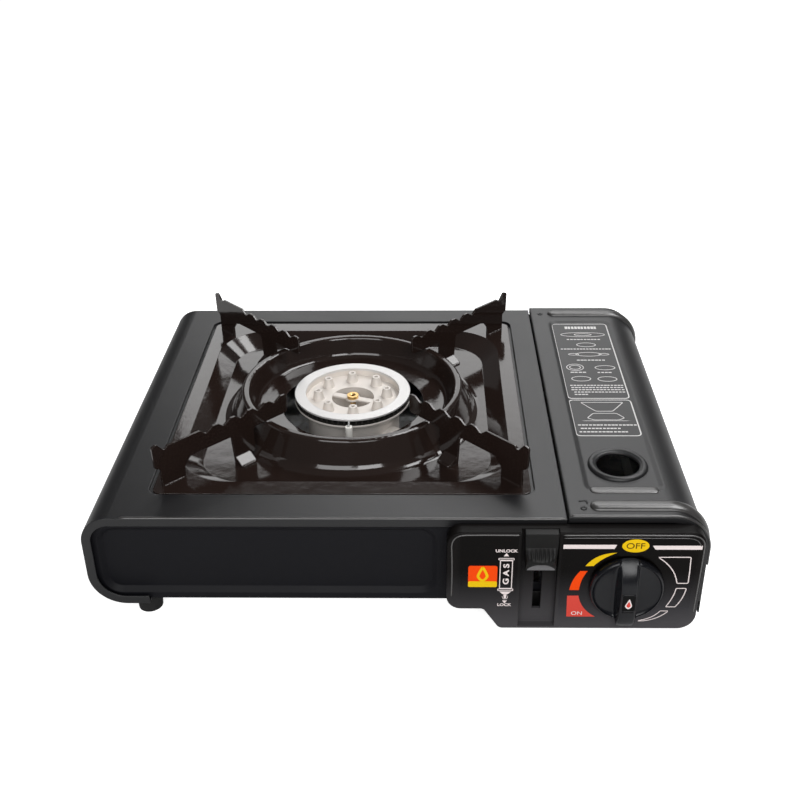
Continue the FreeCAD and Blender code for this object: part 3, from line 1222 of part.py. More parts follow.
def make_lock_lever():
    """Plastic lever block with finger ridges and the stem that goes through the slot."""
    half = LEVER_BLOCK_WIDTH / 2
    x0 = LEVER_X - half
    front = CONTROL_FRONT_Y - LEVER_PROUD
    back_top = front + LEVER_TOP_SETBACK
    middle = (LEVER_BLOCK_TOP + LEVER_BLOCK_BOTTOM) / 2
    side = [Vector(x0, LEVER_BLOCK_BACK, LEVER_BLOCK_BOTTOM), Vector(x0, front, LEVER_BLOCK_BOTTOM),
            Vector(x0, front - LEVER_LIP_REACH, middle - LEVER_LIP_DROP),
            Vector(x0, back_top, middle + LEVER_TOP_SETBACK),
            Vector(x0, back_top, LEVER_BLOCK_TOP), Vector(x0, LEVER_BLOCK_BACK, LEVER_BLOCK_TOP)]
    block = Part.Face(rounded_wire(side, LEVER_ROUNDS, True))
    block = block.extrude(Vector(LEVER_BLOCK_WIDTH, 0, 0))
    stem = box(LEVER_X - LEVER_STEM_WIDTH / 2, LEVER_X + LEVER_STEM_WIDTH / 2, LEVER_BLOCK_BACK,
               SLIDE_FRONT_Y - SLIDE_FIT_DEPTH, LEVER_STEM_BOTTOM, LEVER_STEM_TOP)
    return fused([block, stem])


def make_lever_slide():
    """Steel slide plate on the lever's stem, with the slanted cam slot that drives the pusher."""
    x0 = LEVER_X + LEVER_STEM_WIDTH / 2 - SLIDE_SHEET
    x1 = x0 + SLIDE_SHEET
    bottom = SLIDE_TOP - SLIDE_HEIGHT
    plate = box(x0, x1, SLIDE_FRONT_Y - SLIDE_FIT_DEPTH, SLIDE_BACK_Y, bottom, SLIDE_TOP)
    low = Vector(x0, CAM_PIN_Y, CAM_PIN_Z)
    high = Vector(x0, CAM_PIN_Y - PUSH_TRAVEL, CAM_PIN_Z + LEVER_TRAVEL)
    slot_r = CAM_PIN_R + PLAY
    side = Vector(0, LEVER_TRAVEL, PUSH_TRAVEL).normalize() * slot_r
    corners = [low - side, low + side, high + side, high - side]
    run = Part.Face(rounded_wire(corners, [0] * 4, True)).extrude(Vector(SLIDE_SHEET, 0, 0))
    ends = [rod(slot_r, SLIDE_SHEET, point, X_AXIS) for point in (low, high)]
    return plate.cut([run] + ends)


def make_pusher():
    """Zinc-plated pusher: floor strip, crossbar with the cam pin, and the plate behind the cartridge."""
    x0 = PUSHER_X
    x1 = PUSHER_X + PUSHER_WIDTH
    strip = box(x0, x1, PUSHER_BAR_FRONT, PUSHER_REAR_Y, STRIP_BOTTOM, STRIP_TOP)
    riser = box(x0, x0 + PUSHER_SHEET, PUSHER_BAR_FRONT, PUSHER_BAR_BACK, STRIP_BOTTOM,
                BAR_BOTTOM + PUSHER_SHEET)
    bar = box(PUSHER_UPRIGHT_X, x0 + PUSHER_SHEET, PUSHER_BAR_FRONT, PUSHER_BAR_BACK, BAR_BOTTOM,
              BAR_BOTTOM + PUSHER_SHEET)
    upright = box(PUSHER_UPRIGHT_X, PUSHER_UPRIGHT_X + PUSHER_SHEET, PUSHER_BAR_FRONT, PUSHER_BAR_BACK,
                  BAR_BOTTOM, PUSHER_UPRIGHT_TOP)
    pin_x = LEVER_X + LEVER_STEM_WIDTH / 2 - 2 * SLIDE_SHEET
    pin = rod(CAM_PIN_R, PUSHER_UPRIGHT_X - pin_x, Vector(pin_x, CAM_PIN_Y, CAM_PIN_Z), X_AXIS)
    cross = box(PUSHER_PLATE_LEFT, x1, PUSHER_REAR_Y - PUSHER_CROSS, PUSHER_REAR_Y, STRIP_BOTTOM, STRIP_TOP)
    plate = box(PUSHER_PLATE_LEFT, x1, PUSHER_REAR_Y - PUSHER_SHEET, PUSHER_REAR_Y, STRIP_BOTTOM,
                PUSHER_PLATE_TOP)
    return fused([strip, riser, bar, upright, pin, cross, plate])


def make_pusher_guides():
    """Two staples riveted to the bay floor that hold the strip down."""
    guides = []
    for y in GUIDE_Y:
        x0 = PUSHER_X - SOFT_GAP - SHEET
        x1 = PUSHER_X + PUSHER_WIDTH + SOFT_GAP + SHEET
        top = STRIP_TOP + SOFT_GAP + SHEET
        hoop = box(x0, x1, y, y + GUIDE_LENGTH, BAY_FLOOR_TOP, top)
        hollow = box(x0 + SHEET, x1 - SHEET, y, y + GUIDE_LENGTH, BAY_FLOOR_TOP, top - SHEET)
        guides.append(hoop.cut(hollow))
    return Part.Compound(guides)


def spring_axis():
    """The start of the return spring, behind the pusher's rear plate."""
    start_y = PUSHER_REAR_Y + SPRING_WIRE / 2 + SOFT_GAP
    return Vector((PUSHER_PLATE_LEFT + PUSHER_X) / 2, start_y, STRIP_TOP + SPRING_ABOVE_STRIP)


def spring_point(turns, pitch):
    """A point of the coil after a number of turns."""
    angle = 2 * math.pi * turns
    start = spring_axis()
    return Vector(start.x + SPRING_R * math.cos(angle), start.y + pitch * turns,
                  start.z + SPRING_R * math.sin(angle))


def make_return_spring():
    """Coil spring that draws the pusher back, wound in quarter-turn arcs."""
    room = INSIDE_BACK - PUSHER_REAR_Y - SPRING_WIRE - 2 * SOFT_GAP
    pitch = room / SPRING_TURNS
    edges = []
    steps = 4 * SPRING_TURNS
    for step in range(steps):
        a, b, c = (spring_point((step + share) / 4, pitch) for share in (0, 0.5, 1))
        edges.append(Part.Arc(a, b, c).toShape())
    path = Part.Wire(edges)
    way = spring_point(SAME_PLACE, pitch) - spring_point(0, pitch)
    section = Part.Wire([Part.makeCircle(SPRING_WIRE / 2, spring_point(0, pitch), way)])
    coil = path.makePipeShell([section], True, False)
    start = spring_point(0, pitch)
    nearby = [spring_point(SPRING_NEAR_SHARE + step / SPRING_CHECKS, pitch) for step in range(SPRING_CHECKS)]
    least = min(start.distanceToPoint(point) for point in nearby) - SPRING_WIRE
    print("return spring: turns", SPRING_TURNS, "least gap between turns", round(least, 2), "mm")
    return coil


# Lid line, from its left edge over the shoulder and down the right side
LID_LINE = [
    (HALF_WIDTH, LID_BOTTOM_Z),
    (HALF_WIDTH, LID_HEIGHT),
    (LID_LEFT, LID_HEIGHT),
    (LID_LEFT, LID_HEIGHT - LID_EDGE_FOLD),
]
LID_RADII = [0, LID_SHOULDER, LID_FOLD_ROUND, 0]


def lid_ear(y0):
    """The tab at one end of the lid that turns on a hinge pin."""
    ear = HINGE_PIN_R + LID_EAR_INSET
    reach = box(HINGE_X, LID_INSIDE_X, y0, y0 + SHEET, HINGE_Z - ear + LID_EAR_FOOT, HINGE_Z + 3 * ear)
    eye = rod(ear, SHEET, Vector(HINGE_X, y0, HINGE_Z), Y_AXIS)
    return reach.fuse(eye)


def lid_rib(y):
    """A pressed rib across the lid at one end, over the shoulder and down the side."""
    line = [(HALF_WIDTH, RIB_END_Z), (HALF_WIDTH, LID_HEIGHT), (RIB_START_X, LID_HEIGHT)]
    outside = offset_line(line, -RIB_HEIGHT)
    radius = LID_SHOULDER + RIB_HEIGHT
    return sheet_along_y(outside, [0, radius, 0], RIB_HEIGHT, y - RIB_WIDTH / 2, y + RIB_WIDTH / 2)


def finger_bead(centre):
    """Rolled bead around the finger hole, standing on the lid's sunk field."""
    inner_foot = centre + X_AXIS * FINGER_HOLE_R - Z_AXIS * SHEET
    outer_foot = centre + X_AXIS * FINGER_RIM_R - Z_AXIS * SHEET
    outer = centre + X_AXIS * FINGER_RIM_R
    crest = centre + X_AXIS * FINGER_CREST_R + Z_AXIS * FINGER_CREST
    inner = centre + X_AXIS * FINGER_HOLE_R + Z_AXIS * FINGER_LIP
    edges = [Part.LineSegment(inner_foot, outer_foot).toShape(), Part.LineSegment(outer_foot, outer).toShape(),
             Part.Arc(outer, crest, inner).toShape(), Part.LineSegment(inner, inner_foot).toShape()]
    return Part.Face(Part.Wire(edges)).revolve(centre, Z_AXIS, 360)


def make_cartridge_lid():
    """Cartridge cover: bent sheet with end flanges, sunk field, rimmed finger hole and hinge ears."""
    shell = sheet_along_y(LID_LINE, LID_RADII, SHEET, 0, BODY_DEPTH)
    flange_line = [(HALF_WIDTH, LID_FLANGE_START)] + LID_LINE[1:3]
    flange_radii = LID_RADII[:2] + [0]
    ends = [sheet_along_y(flange_line, flange_radii, LID_FLANGE, y, y + SHEET)
            for y in (0, BODY_DEPTH - SHEET)]
    half_x = (FIELD_RIGHT - FIELD_LEFT) / 2
    half_y = (FIELD_BACK - FIELD_FRONT) / 2
    middle = Vector((FIELD_LEFT + FIELD_RIGHT) / 2, (FIELD_FRONT + FIELD_BACK) / 2, LID_HEIGHT)
    down = Vector(0, 0, -FIELD_DEPTH)
    sunk = lofted([rectangle_wire(half_x, half_y, FIELD_RADIUS, middle),
                   rectangle_wire(half_x - FIELD_BEVEL, half_y - FIELD_BEVEL, FIELD_RADIUS - FIELD_BEVEL / 2,
                                  middle + down)])
    backing = lofted([rectangle_wire(half_x + SHEET, half_y + SHEET, FIELD_RADIUS, middle - Z_AXIS * SHEET),
                      rectangle_wire(half_x - FIELD_BEVEL + SHEET, half_y - FIELD_BEVEL + SHEET,
                                     FIELD_RADIUS - FIELD_BEVEL / 2, middle + down - Z_AXIS * SHEET)])
    finger = Vector(FINGER_HOLE_X, FINGER_HOLE_Y, LID_HEIGHT - FIELD_DEPTH)
    rim = finger_bead(finger)
    hole = rod(FINGER_HOLE_R, 6 * FIELD_DEPTH, finger - Z_AXIS * 3 * FIELD_DEPTH)
    ribs = [lid_rib(RIB_INSET), lid_rib(BODY_DEPTH - RIB_INSET)]
    ears = [lid_ear(LID_EAR_INSET + SHEET / 2), lid_ear(BODY_DEPTH - LID_EAR_INSET - 1.5 * SHEET)]
    body = shell.fuse([backing] + ends + ears).cut(sunk)
    return body.fuse([rim] + ribs).cut([hole] + pin_holes())


def make_hinge_pins():
    """Two riveted pins that carry the lid."""
    front_start = LID_EAR_INSET + SHEET / 2 - SOFT_GAP - HINGE_HEAD
    start = Vector(HINGE_X, front_start, HINGE_Z)
    pins = []
    for mirrored in (False, True):
        shank = rod(HINGE_PIN_R, INSIDE_FRONT + PIN_INSIDE - front_start, start, Y_AXIS)
        head = rod(HINGE_HEAD_R, HINGE_HEAD, start, Y_AXIS)
        pin = fused([shank, head])
        if mirrored:
            pin = pin.mirror(Vector(0, BODY_DEPTH / 2, 0), Y_AXIS)
        pins.append(pin)
    return Part.Compound(pins)


def make_regulator_screws():
    """Two screws through the regulator's flange into the front panel."""
    screws = []
    for x in regulator_screw_xs():
        start = REGULATOR_FRONT_Y + REGULATOR_FLANGE
        screws.append(rod(SCREW_HEAD_R, SCREW_HEAD, Vector(x, start, CARTRIDGE_Z), Y_AXIS))
    return Part.Compound(screws)


def make_floor_screws():
    """Screws that hold the burner's bracket to the floor."""
    screws = []
    top = BASE_FLOOR_TOP + BRACKET_SHEET
    for side in (-1, 1):
        x = PAN_CENTRE_X + side * (BRACKET_HALF + BRACKET_FOOT * FLOOR_SCREW_SHARE)
        screws.append(cone(SCREW_HEAD_R, SCREW_HEAD_R * SCREW_HEAD_TAPER, SCREW_HEAD,
                           Vector(x, PAN_CENTRE_Y, top)))
    return Part.Compound(screws)


def make_bay_pads():
    """Four pads that steady the cartridge on the bay floor."""
    pads = []
    for y in (PAD_FRONT_Y, PAD_BACK_Y):
        for side in (-1, 1):
            x = CARTRIDGE_X + side * PAD_SPREAD
            pads.append(box(x - PAD_HALF, x + PAD_HALF, y, y + PAD_LENGTH, BAY_FLOOR_TOP,
                            BAY_FLOOR_TOP + PAD_HEIGHT))
    return Part.Compound(pads)


PIECES = {
    "top_case": make_top_case,
    "front_panel": make_front_panel,
    "back_panel": make_back_panel,
    "base_tray": make_base_tray,
    "partition": make_partition,
    "left_feet": make_left_feet,
    "right_feet": make_right_feet,
    "drip_pan": make_drip_pan,
    "trivet_blade_front_left": lambda: make_blade(225, 1),
    "trivet_blade_front_right": lambda: make_blade(315, -1),
    "trivet_blade_back_right": lambda: make_blade(45, -1),
    "trivet_blade_back_left": lambda: make_blade(135, 1),
    "burner_cap": make_burner_cap,
    "burner_body": make_burner_body,
    "burner_bridge": make_burner_bridge,
    "burner_nut": make_burner_nut,
    "mixing_tube": make_mixing_tube,
    "gas_nozzle": make_gas_nozzle,
    "gas_pipe": make_gas_pipe,
    "nozzle_bracket": make_nozzle_bracket,
    "burner_bracket": make_burner_bracket,
    "heat_shield": make_heat_shield,
    "electrode": make_electrode,
    "electrode_wire": make_electrode_wire,
    "electrode_clip": make_electrode_clip,
    "igniter": make_igniter,
    "ignition_lead": make_ignition_lead,
    "regulator_body": make_regulator_body,
    "regulator_cap": make_regulator_cap,
    "cartridge_socket": make_cartridge_socket,
    "valve_spindle": make_valve_spindle,
    "control_panel": make_control_panel,
    "control_screws": make_control_screws,
    "control_knob": make_knob,
    "lock_lever": make_lock_lever,
    "lever_slide": make_lever_slide,
    "pusher": make_pusher,
    "pusher_guides": make_pusher_guides,
    "return_spring": make_return_spring,
    "cartridge_lid": make_cartridge_lid,
    "hinge_pins": make_hinge_pins,
    "regulator_screws": make_regulator_screws,
    "floor_screws": make_floor_screws,
    "bay_pads": make_bay_pads,
}

for piece_name, make_piece in PIECES.items():
    save(piece_name, make_piece())
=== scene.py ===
"""Dressed model of a tabletop butane cassette stove, in metres.

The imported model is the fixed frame: +X is the user's right, +Y the back, +Z up, with the table at z = 0.
Each section below is one piece of the stove, in the order in which the stove is put together.
"""

import math

import bmesh
import bpy
import numpy as np
from mathutils import Matrix, Vector
from mathutils.geometry import tessellate_polygon


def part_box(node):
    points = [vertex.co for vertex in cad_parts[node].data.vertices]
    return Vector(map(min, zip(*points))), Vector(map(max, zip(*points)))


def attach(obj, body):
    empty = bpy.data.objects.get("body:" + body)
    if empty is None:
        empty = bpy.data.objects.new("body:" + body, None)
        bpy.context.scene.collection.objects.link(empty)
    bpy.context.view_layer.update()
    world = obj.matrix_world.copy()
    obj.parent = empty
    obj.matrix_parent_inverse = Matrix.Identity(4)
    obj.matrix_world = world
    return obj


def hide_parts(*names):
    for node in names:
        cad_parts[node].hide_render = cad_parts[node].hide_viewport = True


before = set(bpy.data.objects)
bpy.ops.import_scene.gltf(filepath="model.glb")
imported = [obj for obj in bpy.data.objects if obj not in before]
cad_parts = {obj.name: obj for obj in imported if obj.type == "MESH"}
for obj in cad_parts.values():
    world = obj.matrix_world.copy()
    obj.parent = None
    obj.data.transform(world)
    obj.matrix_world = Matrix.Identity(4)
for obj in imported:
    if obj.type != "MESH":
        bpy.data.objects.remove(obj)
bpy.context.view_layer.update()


# The camera: a normal lens a little above and just right of the stove's middle, as the picture was
# taken. The shift is only what the picture's crop needs.
camera_place = Vector((0.01869, -0.59316, 0.41466))
camera_pitch = math.radians(29.31)
camera_yaw = math.radians(1.118)
camera_roll = math.radians(-0.56)
backward = Vector((math.sin(camera_yaw) * math.cos(camera_pitch),
                   -math.cos(camera_yaw) * math.cos(camera_pitch), math.sin(camera_pitch)))
level_right = Vector((math.cos(camera_yaw), math.sin(camera_yaw), 0.0))
level_up = backward.cross(level_right)
camera_right = math.cos(camera_roll) * level_right + math.sin(camera_roll) * level_up
camera_up = math.cos(camera_roll) * level_up - math.sin(camera_roll) * level_right
lens = bpy.data.cameras.new("camera")
lens.lens = 48.56
lens.sensor_width = 36.0
lens.shift_x = -0.0136
lens.shift_y = -0.0118
camera = bpy.data.objects.new("camera", lens)
bpy.context.collection.objects.link(camera)
camera.matrix_world = Matrix.Translation(camera_place) @ Matrix(
    (camera_right, camera_up, backward)).transposed().to_4x4()
bpy.context.scene.camera = camera
bpy.context.scene.view_settings.view_transform = "Standard"


# Finishes: every material of the stove is made with this small kit. A Flow is one socket whose
# arithmetic adds Math nodes; a Finish is one material with one method that adds any node.
class Flow:
    """A socket of a material tree, with arithmetic that adds Math nodes to the tree."""

    def __init__(self, finish, socket):
        self.finish = finish
        self.socket = socket

    def maths(self, operation, *values):
        return self.finish.node("ShaderNodeMath", {"operation": operation}, list(values))

    def __add__(self, other):
        return self.maths("ADD", self, other)

    def __sub__(self, other):
        return self.maths("SUBTRACT", self, other)

    def __rsub__(self, other):
        return self.maths("SUBTRACT", other, self)

    def __mul__(self, other):
        return self.maths("MULTIPLY", self, other)

    def __pow__(self, other):
        return self.maths("POWER", self, other)

    def clamped(self):
        return self.maths("MINIMUM", self.maths("MAXIMUM", self, 0.0), 1.0)

    __radd__ = __add__


class Finish:
    """A material: constants go on the shader's own sockets, and node() adds and links any node."""

    def __init__(self, name, **constants):
        self.material = bpy.data.materials.new(name)
        self.material.use_nodes = True
        self.tree = self.material.node_tree
        self.shader = self.tree.nodes["Principled BSDF"]
        for socket, value in constants.items():
            self.shader.inputs[socket.replace("_", " ")].default_value = value

    def node(self, kind, settings, values, output=0):
        """Adds a node: settings first, then its sockets' values or links, by name or in order."""
        made = self.tree.nodes.new(kind)
        for key, value in settings.items():
            setattr(made, key, value)
        pairs = values.items() if isinstance(values, dict) else enumerate(values)
        for key, value in pairs:
            self.put(made.inputs[key], value)
        return Flow(self, made.outputs[output])

    def put(self, socket, value):
        """Links a Flow to a socket, or sets the socket's own value."""
        if isinstance(value, Flow):
            self.tree.links.new(value.socket, socket)
        else:
            socket.default_value = value

    def give(self, **links):
        """Feeds the shader's sockets."""
        for socket, value in links.items():
            self.put(self.shader.inputs[socket.replace("_", " ")], value)

    def place(self):
        """Object coordinates, in metres."""
        return self.node("ShaderNodeTexCoord", {}, {}, "Object")

    def parts(self, place):
        """The x, y and z of a place."""
        split = self.node("ShaderNodeSeparateXYZ", {}, [place])
        return [Flow(self, split.socket.node.outputs[axis]) for axis in range(3)]

    def noise(self, place, scale, detail=3.0, roughness=0.5):
        return self.node("ShaderNodeTexNoise", {}, {
            "Vector": place, "Scale": scale, "Detail": detail, "Roughness": roughness}, "Fac")

    def stretched(self, place, x, y, z):
        """The place with its axes scaled."""
        return self.node("ShaderNodeVectorMath", {"operation": "MULTIPLY"}, [place, (x, y, z)])

    def blend(self, share, first, second):
        """One colour at 0, the other at 1."""
        mixed = self.node("ShaderNodeMix", {"data_type": "RGBA"}, {0: share}, 2)
        self.put(mixed.socket.node.inputs[6], first)
        self.put(mixed.socket.node.inputs[7], second)
        return mixed

    def rounded(self, radius):
        """The surface's direction with its edges softened by a radius."""
        return self.node("ShaderNodeBevel", {"samples": 6}, {"Radius": radius})

    def edge(self, radius, gain):
        """0 on the flat and 1 at an outer edge: how far the softened direction turns away."""
        straight = self.node("ShaderNodeNewGeometry", {}, {}, "Normal")
        along = self.node("ShaderNodeVectorMath", {"operation": "DOT_PRODUCT"},
                          [self.rounded(radius), straight], "Value")
        return ((1.0 - along) * gain).clamped()

    def relief(self, height, depth, softened=None):
        """A surface direction from a height from 0 to 1 and its depth in metres."""
        values = {"Strength": 1.0, "Distance": depth, "Height": height}
        if softened is not None:
            values["Normal"] = softened
        return self.node("ShaderNodeBump", {}, values)


def colour(red, green, blue):
    """A display colour, 0 to 255, as the linear colour a shader takes."""
    shares = np.array([red, green, blue]) / 255.0
    linear = np.where(shares <= 0.04045, shares / 12.92, ((shares + 0.055) / 1.055) ** 2.4)
    return (*linear.tolist(), 1.0)


def dress(finish, *nodes):
    """Puts a finish on the frame's own pieces."""
    for name in nodes:
        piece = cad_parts[name]
        piece.data.materials.clear()
        piece.data.materials.append(finish.material)


# The table and the light: a plain pale floor in a dim room, a wide light box low behind the stove and
# a narrow one above it, a lamp on the right, a small one and a broad fill in front. The camera sees
# floor and sky white.
floor_mesh = bpy.data.meshes.new("floor")
floor_mesh.from_pydata([(-6, -6, 0), (6, -6, 0), (6, 6, 0), (-6, 6, 0)], [], [(0, 1, 2, 3)])
floor = bpy.data.objects.new("floor", floor_mesh)
bpy.context.collection.objects.link(floor)
floor_paint = Finish("floor_paint", Base_Color=(0.82, 0.82, 0.82, 1.0), Roughness=0.9)
seen = floor_paint.node("ShaderNodeLightPath", {}, {}, "Is Camera Ray")
floor_paint.shader.inputs["Emission Color"].default_value = (1.0, 1.0, 1.0, 1.0)
floor_paint.give(Emission_Strength=seen * 0.8)
floor_mesh.materials.append(floor_paint.material)

sky = bpy.data.worlds.new("sky")
bpy.context.scene.world = sky
sky.use_nodes = True
sky_tree = sky.node_tree
sky_light = sky_tree.nodes["Background"]
sky_seen = sky_tree.nodes.new("ShaderNodeLightPath")
sky_mix = sky_tree.nodes.new("ShaderNodeMix")
sky_mix.data_type = "RGBA"
sky_tree.links.new(sky_seen.outputs["Is Camera Ray"], sky_mix.inputs[0])
sky_mix.inputs[6].default_value = (0.10, 0.10, 0.10, 1.0)
sky_mix.inputs[7].default_value = (1.0, 1.0, 1.0, 1.0)
sky_tree.links.new(sky_mix.outputs[2], sky_light.inputs["Color"])


def softbox(name, place, target, width, height, power):
    """A soft rectangular lamp at a place, turned to a target."""
    lamp = bpy.data.lights.new(name, "AREA")
    lamp.shape = "RECTANGLE"
    lamp.size = width
    lamp.size_y = height
    lamp.energy = power
    holder = bpy.data.objects.new(name, lamp)
    bpy.context.collection.objects.link(holder)
    aim = (Vector(target) - Vector(place)).to_track_quat("-Z", "Y")
    holder.matrix_world = Matrix.Translation(place) @ aim.to_matrix().to_4x4()


softbox("lamp_back", (0.04, 2.2, 1.07), (0.04, 0.0, 1.07), 1.56, 0.95, 8.6)
softbox("lamp_high", (0.35, 1.15, 1.35), (0.05, 0.0, 0.05), 1.0, 0.35, 6.0)
softbox("lamp_right", (0.76, 0.38, 1.4), (0.0, 0.0, 0.05), 0.7, 0.7, 12.0)
softbox("lamp_near", (0.42, -1.3, 1.0), (0.1, -0.1, 0.05), 0.5, 0.8, 8.5)
softbox("lamp_front", (-0.4, -1.6, 1.15), (0.0, 0.0, 0.05), 1.1, 1.1, 15.0)


# Shapes: the few ways in which the scene's own pieces are made from whole arrays of points.
def grid_faces(rows, columns, closed=False):
    """Quads between the rows of a grid of points; a closed grid joins its last column to its first."""
    row = np.arange(rows - 1)[:, None] * columns
    column = np.arange(columns if closed else columns - 1)[None, :]
    beside = (column + 1) % columns
    return np.stack([row + column, row + beside, row + columns + beside, row + columns + column],
                    axis=-1).reshape(-1, 4).tolist()


def make_piece(name, points, faces, finish, body, slot, sharp=40.0):
    """A piece from points in metres and faces: welded, facing outward, riding on one of the bodies."""
    mesh = bpy.data.meshes.new(name)
    mesh.from_pydata(np.asarray(points, float).reshape(-1, 3).tolist(), [], faces)
    work = bmesh.new()
    work.from_mesh(mesh)
    bmesh.ops.remove_doubles(work, verts=work.verts, dist=1e-6)
    bmesh.ops.recalc_face_normals(work, faces=work.faces)
    work.to_mesh(mesh)
    work.free()
    mesh.shade_smooth()
    mesh.set_sharp_from_angle(angle=math.radians(sharp))
    mesh.materials.append(finish.material)
    made = bpy.data.objects.new(name, mesh)
    bpy.context.collection.objects.link(made)
    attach(made, body)
    return made


def bent(first, middle, last, samples=16):
    """A curve from the first to the last place through the middle one: a quadratic in its share."""
    first, middle, last = (np.asarray(place, float) for place in (first, middle, last))
    share = np.linspace(0.0, 1.0, samples)[:, None]
    pull = 2.0 * middle - (first + last) / 2.0
    return first * (1.0 - share) ** 2 + pull * 2.0 * share * (1.0 - share) + last * share ** 2


def softened(corners, reach, samples=8):
    """A closed outline whose corners are quadratic curves that start a reach away from each."""
    corners = np.asarray(corners, float)
    before = np.roll(corners, 1, axis=0) - corners
    after = np.roll(corners, -1, axis=0) - corners
    first = corners + before / np.linalg.norm(before, axis=1)[:, None] * reach
    last = corners + after / np.linalg.norm(after, axis=1)[:, None] * reach
    share = np.linspace(0.0, 1.0, samples)[None, :, None]
    curve = (first[:, None] * (1.0 - share) ** 2 + corners[:, None] * 2.0 * share * (1.0 - share)
             + last[:, None] * share ** 2)
    return curve.reshape(-1, corners.shape[1])


def plate(outline, thickness, place):
    """A flat plate with an outline in two coordinates. place() puts the outline at a height above
    what carries it: the faces stand at the thickness and at nothing, with a wall between them."""
    outline = np.asarray(outline, float)
    count = len(outline)
    top = np.array(tessellate_polygon([[Vector((*corner, 0.0)) for corner in outline]]))
    here = np.arange(count)
    beside = np.roll(here, -1)
    walls = np.stack([here, beside, beside + count, here + count], axis=-1)
    points = np.concatenate([place(outline, thickness), place(outline, 0.0)])
    return points, top.tolist() + (top[:, ::-1] + count).tolist() + walls.tolist()


def bead(path, normal, half_width, height, closed=False, sides=10):
    """A rounded strip along a path: at each place an ellipse of the half width across and the height
    along the normal. An open strip has round ends: at a distance d from an end its size is
    sqrt(1 - (1 - d / half_width)^2), up to 1."""
    path = np.asarray(path, float)
    forward = np.roll(path, -1, axis=0) - np.roll(path, 1, axis=0) if closed else np.gradient(path, axis=0)
    across = np.cross(forward, normal)
    across /= np.linalg.norm(across, axis=1)[:, None]
    size = np.ones(len(path))
    if not closed:
        gone = np.concatenate([[0.0], np.cumsum(np.linalg.norm(np.diff(path, axis=0), axis=1))])
        from_end = np.minimum(gone, gone[-1] - gone)
        size = np.sqrt(1.0 - np.clip(1.0 - from_end / half_width, 0.0, 1.0) ** 2)
    angle = np.linspace(0.0, 2.0 * np.pi, sides, endpoint=False)[None, :, None]
    normal = np.broadcast_to(np.asarray(normal, float), path.shape)
    ring = np.cos(angle) * half_width * across[:, None] + np.sin(angle) * height * normal[:, None]
    points = path[:, None] + ring * size[:, None, None]
    if closed:
        points = np.concatenate([points, points[:1]])
    return points, grid_faces(len(points), sides, True)


def lettering(word, weight, thickness, place, centre, width, height, turned=False):
    """A word in plain capitals on a flat face, fitted to a width and a height about its centre."""
    curve = bpy.data.curves.new(word, "FONT")
    curve.body = word
    curve.offset = weight
    curve.extrude = 1.0
    holder = bpy.data.objects.new(word, curve)
    bpy.context.collection.objects.link(holder)
    mesh = bpy.data.meshes.new_from_object(holder)
    points = np.empty(len(mesh.vertices) * 3)
    mesh.vertices.foreach_get("co", points)
    faces = [tuple(polygon.vertices) for polygon in mesh.polygons]
    bpy.data.objects.remove(holder)
    points = points.reshape(-1, 3)
    low, high = points.min(axis=0), points.max(axis=0)
    flat = ((points - (low + high) / 2.0) / (high - low))[:, :2] * (width, height)
    if turned:
        flat = np.stack([-flat[:, 1], flat[:, 0]], axis=-1)
    return place(flat + centre, np.where(points[:, 2] > 0.0, thickness, 0.0)), faces


# The case: one bent sheet of mild steel that is the top plate, the left side and the edge under the
# stove, with the pan's ledge pressed in. It is sprayed satin black, with a faint orange peel. The bead
# along its folded front edge is a lighter, glossier copy of the paint: a painted highlight.
case_paint = Finish("case_paint", Specular_IOR_Level=0.5)
case_place = case_paint.place()
case_peel = case_paint.noise(case_place, 1400.0, 2.0)
case_cloud = case_paint.noise(case_place, 14.0, 4.0, 0.6)
case_soft = case_paint.rounded(0.0009)
case_wear = case_paint.edge(0.0008, 2.2) * case_paint.noise(case_place, 260.0, 3.0)
case_paint.give(
    Base_Color=case_paint.blend(case_wear, (0.0085, 0.0085, 0.0095, 1.0), (0.05, 0.05, 0.052, 1.0)),
    Roughness=0.33 + case_cloud * 0.12,
    Normal=case_paint.relief(case_peel, 0.00003, case_soft))
dress(case_paint, "top_case")

# Painted highlight: a lighter, glossier copy of the black paint for the raised crowns, hems and the lid's
# field step.
crown_painted_highlight = Finish("crown_painted_highlight", Specular_IOR_Level=1.0)
crown_highlight_cloud = crown_painted_highlight.noise(crown_painted_highlight.place(), 260.0, 3.0, 0.6)
crown_painted_highlight.give(
    Base_Color=crown_painted_highlight.blend(crown_highlight_cloud, (0.020, 0.019, 0.019, 1.0), (0.055, 0.052, 0.050, 1.0)),
    Roughness=0.26 + crown_highlight_cloud * 0.1)

up = np.array([0.0, 0.0, 1.0])
case_low, case_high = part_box("top_case")
bend_reach = 0.022
sheet_gap = 0.0006
fold_half = 0.0009
fold_x = np.linspace(case_low.x + bend_reach, case_high.x - sheet_gap, 120)
fold_path = np.stack([fold_x, np.full(120, case_low.y + fold_half), np.full(120, case_high.z)], axis=-1)
make_piece("case_hem", *bead(fold_path, up, fold_half, 0.0006, sides=12), crown_painted_highlight, "stove",
           "case_paint")


# The cartridge lid: a sheet pressed with soft edges around its sunk field, its finger hole and its two
# ribs, sprayed with the case. Two small dimples and a stop mark are pressed beside the ribs. Every
# raised crown carries a lighter, glossier copy of the paint: a painted highlight.
lid_paint = Finish("lid_paint", Specular_IOR_Level=0.5)
lid_place = lid_paint.place()
lid_cloud = lid_paint.noise(lid_place, 14.0, 4.0, 0.6)
lid_paint.give(
    Base_Color=lid_paint.blend(lid_cloud, (0.010, 0.010, 0.011, 1.0), (0.015, 0.015, 0.016, 1.0)),
    Roughness=0.33 + lid_cloud * 0.12,
    Normal=lid_paint.relief(lid_paint.noise(lid_place, 1400.0, 2.0), 0.00003, lid_paint.rounded(0.0018)))
dress(lid_paint, "cartridge_lid")

lid_low, lid_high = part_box("cartridge_lid")
rib_rise = 0.0012
field_depth = 0.0010
lid_top = lid_high.z - rib_rise
lid_field = lid_top - field_depth


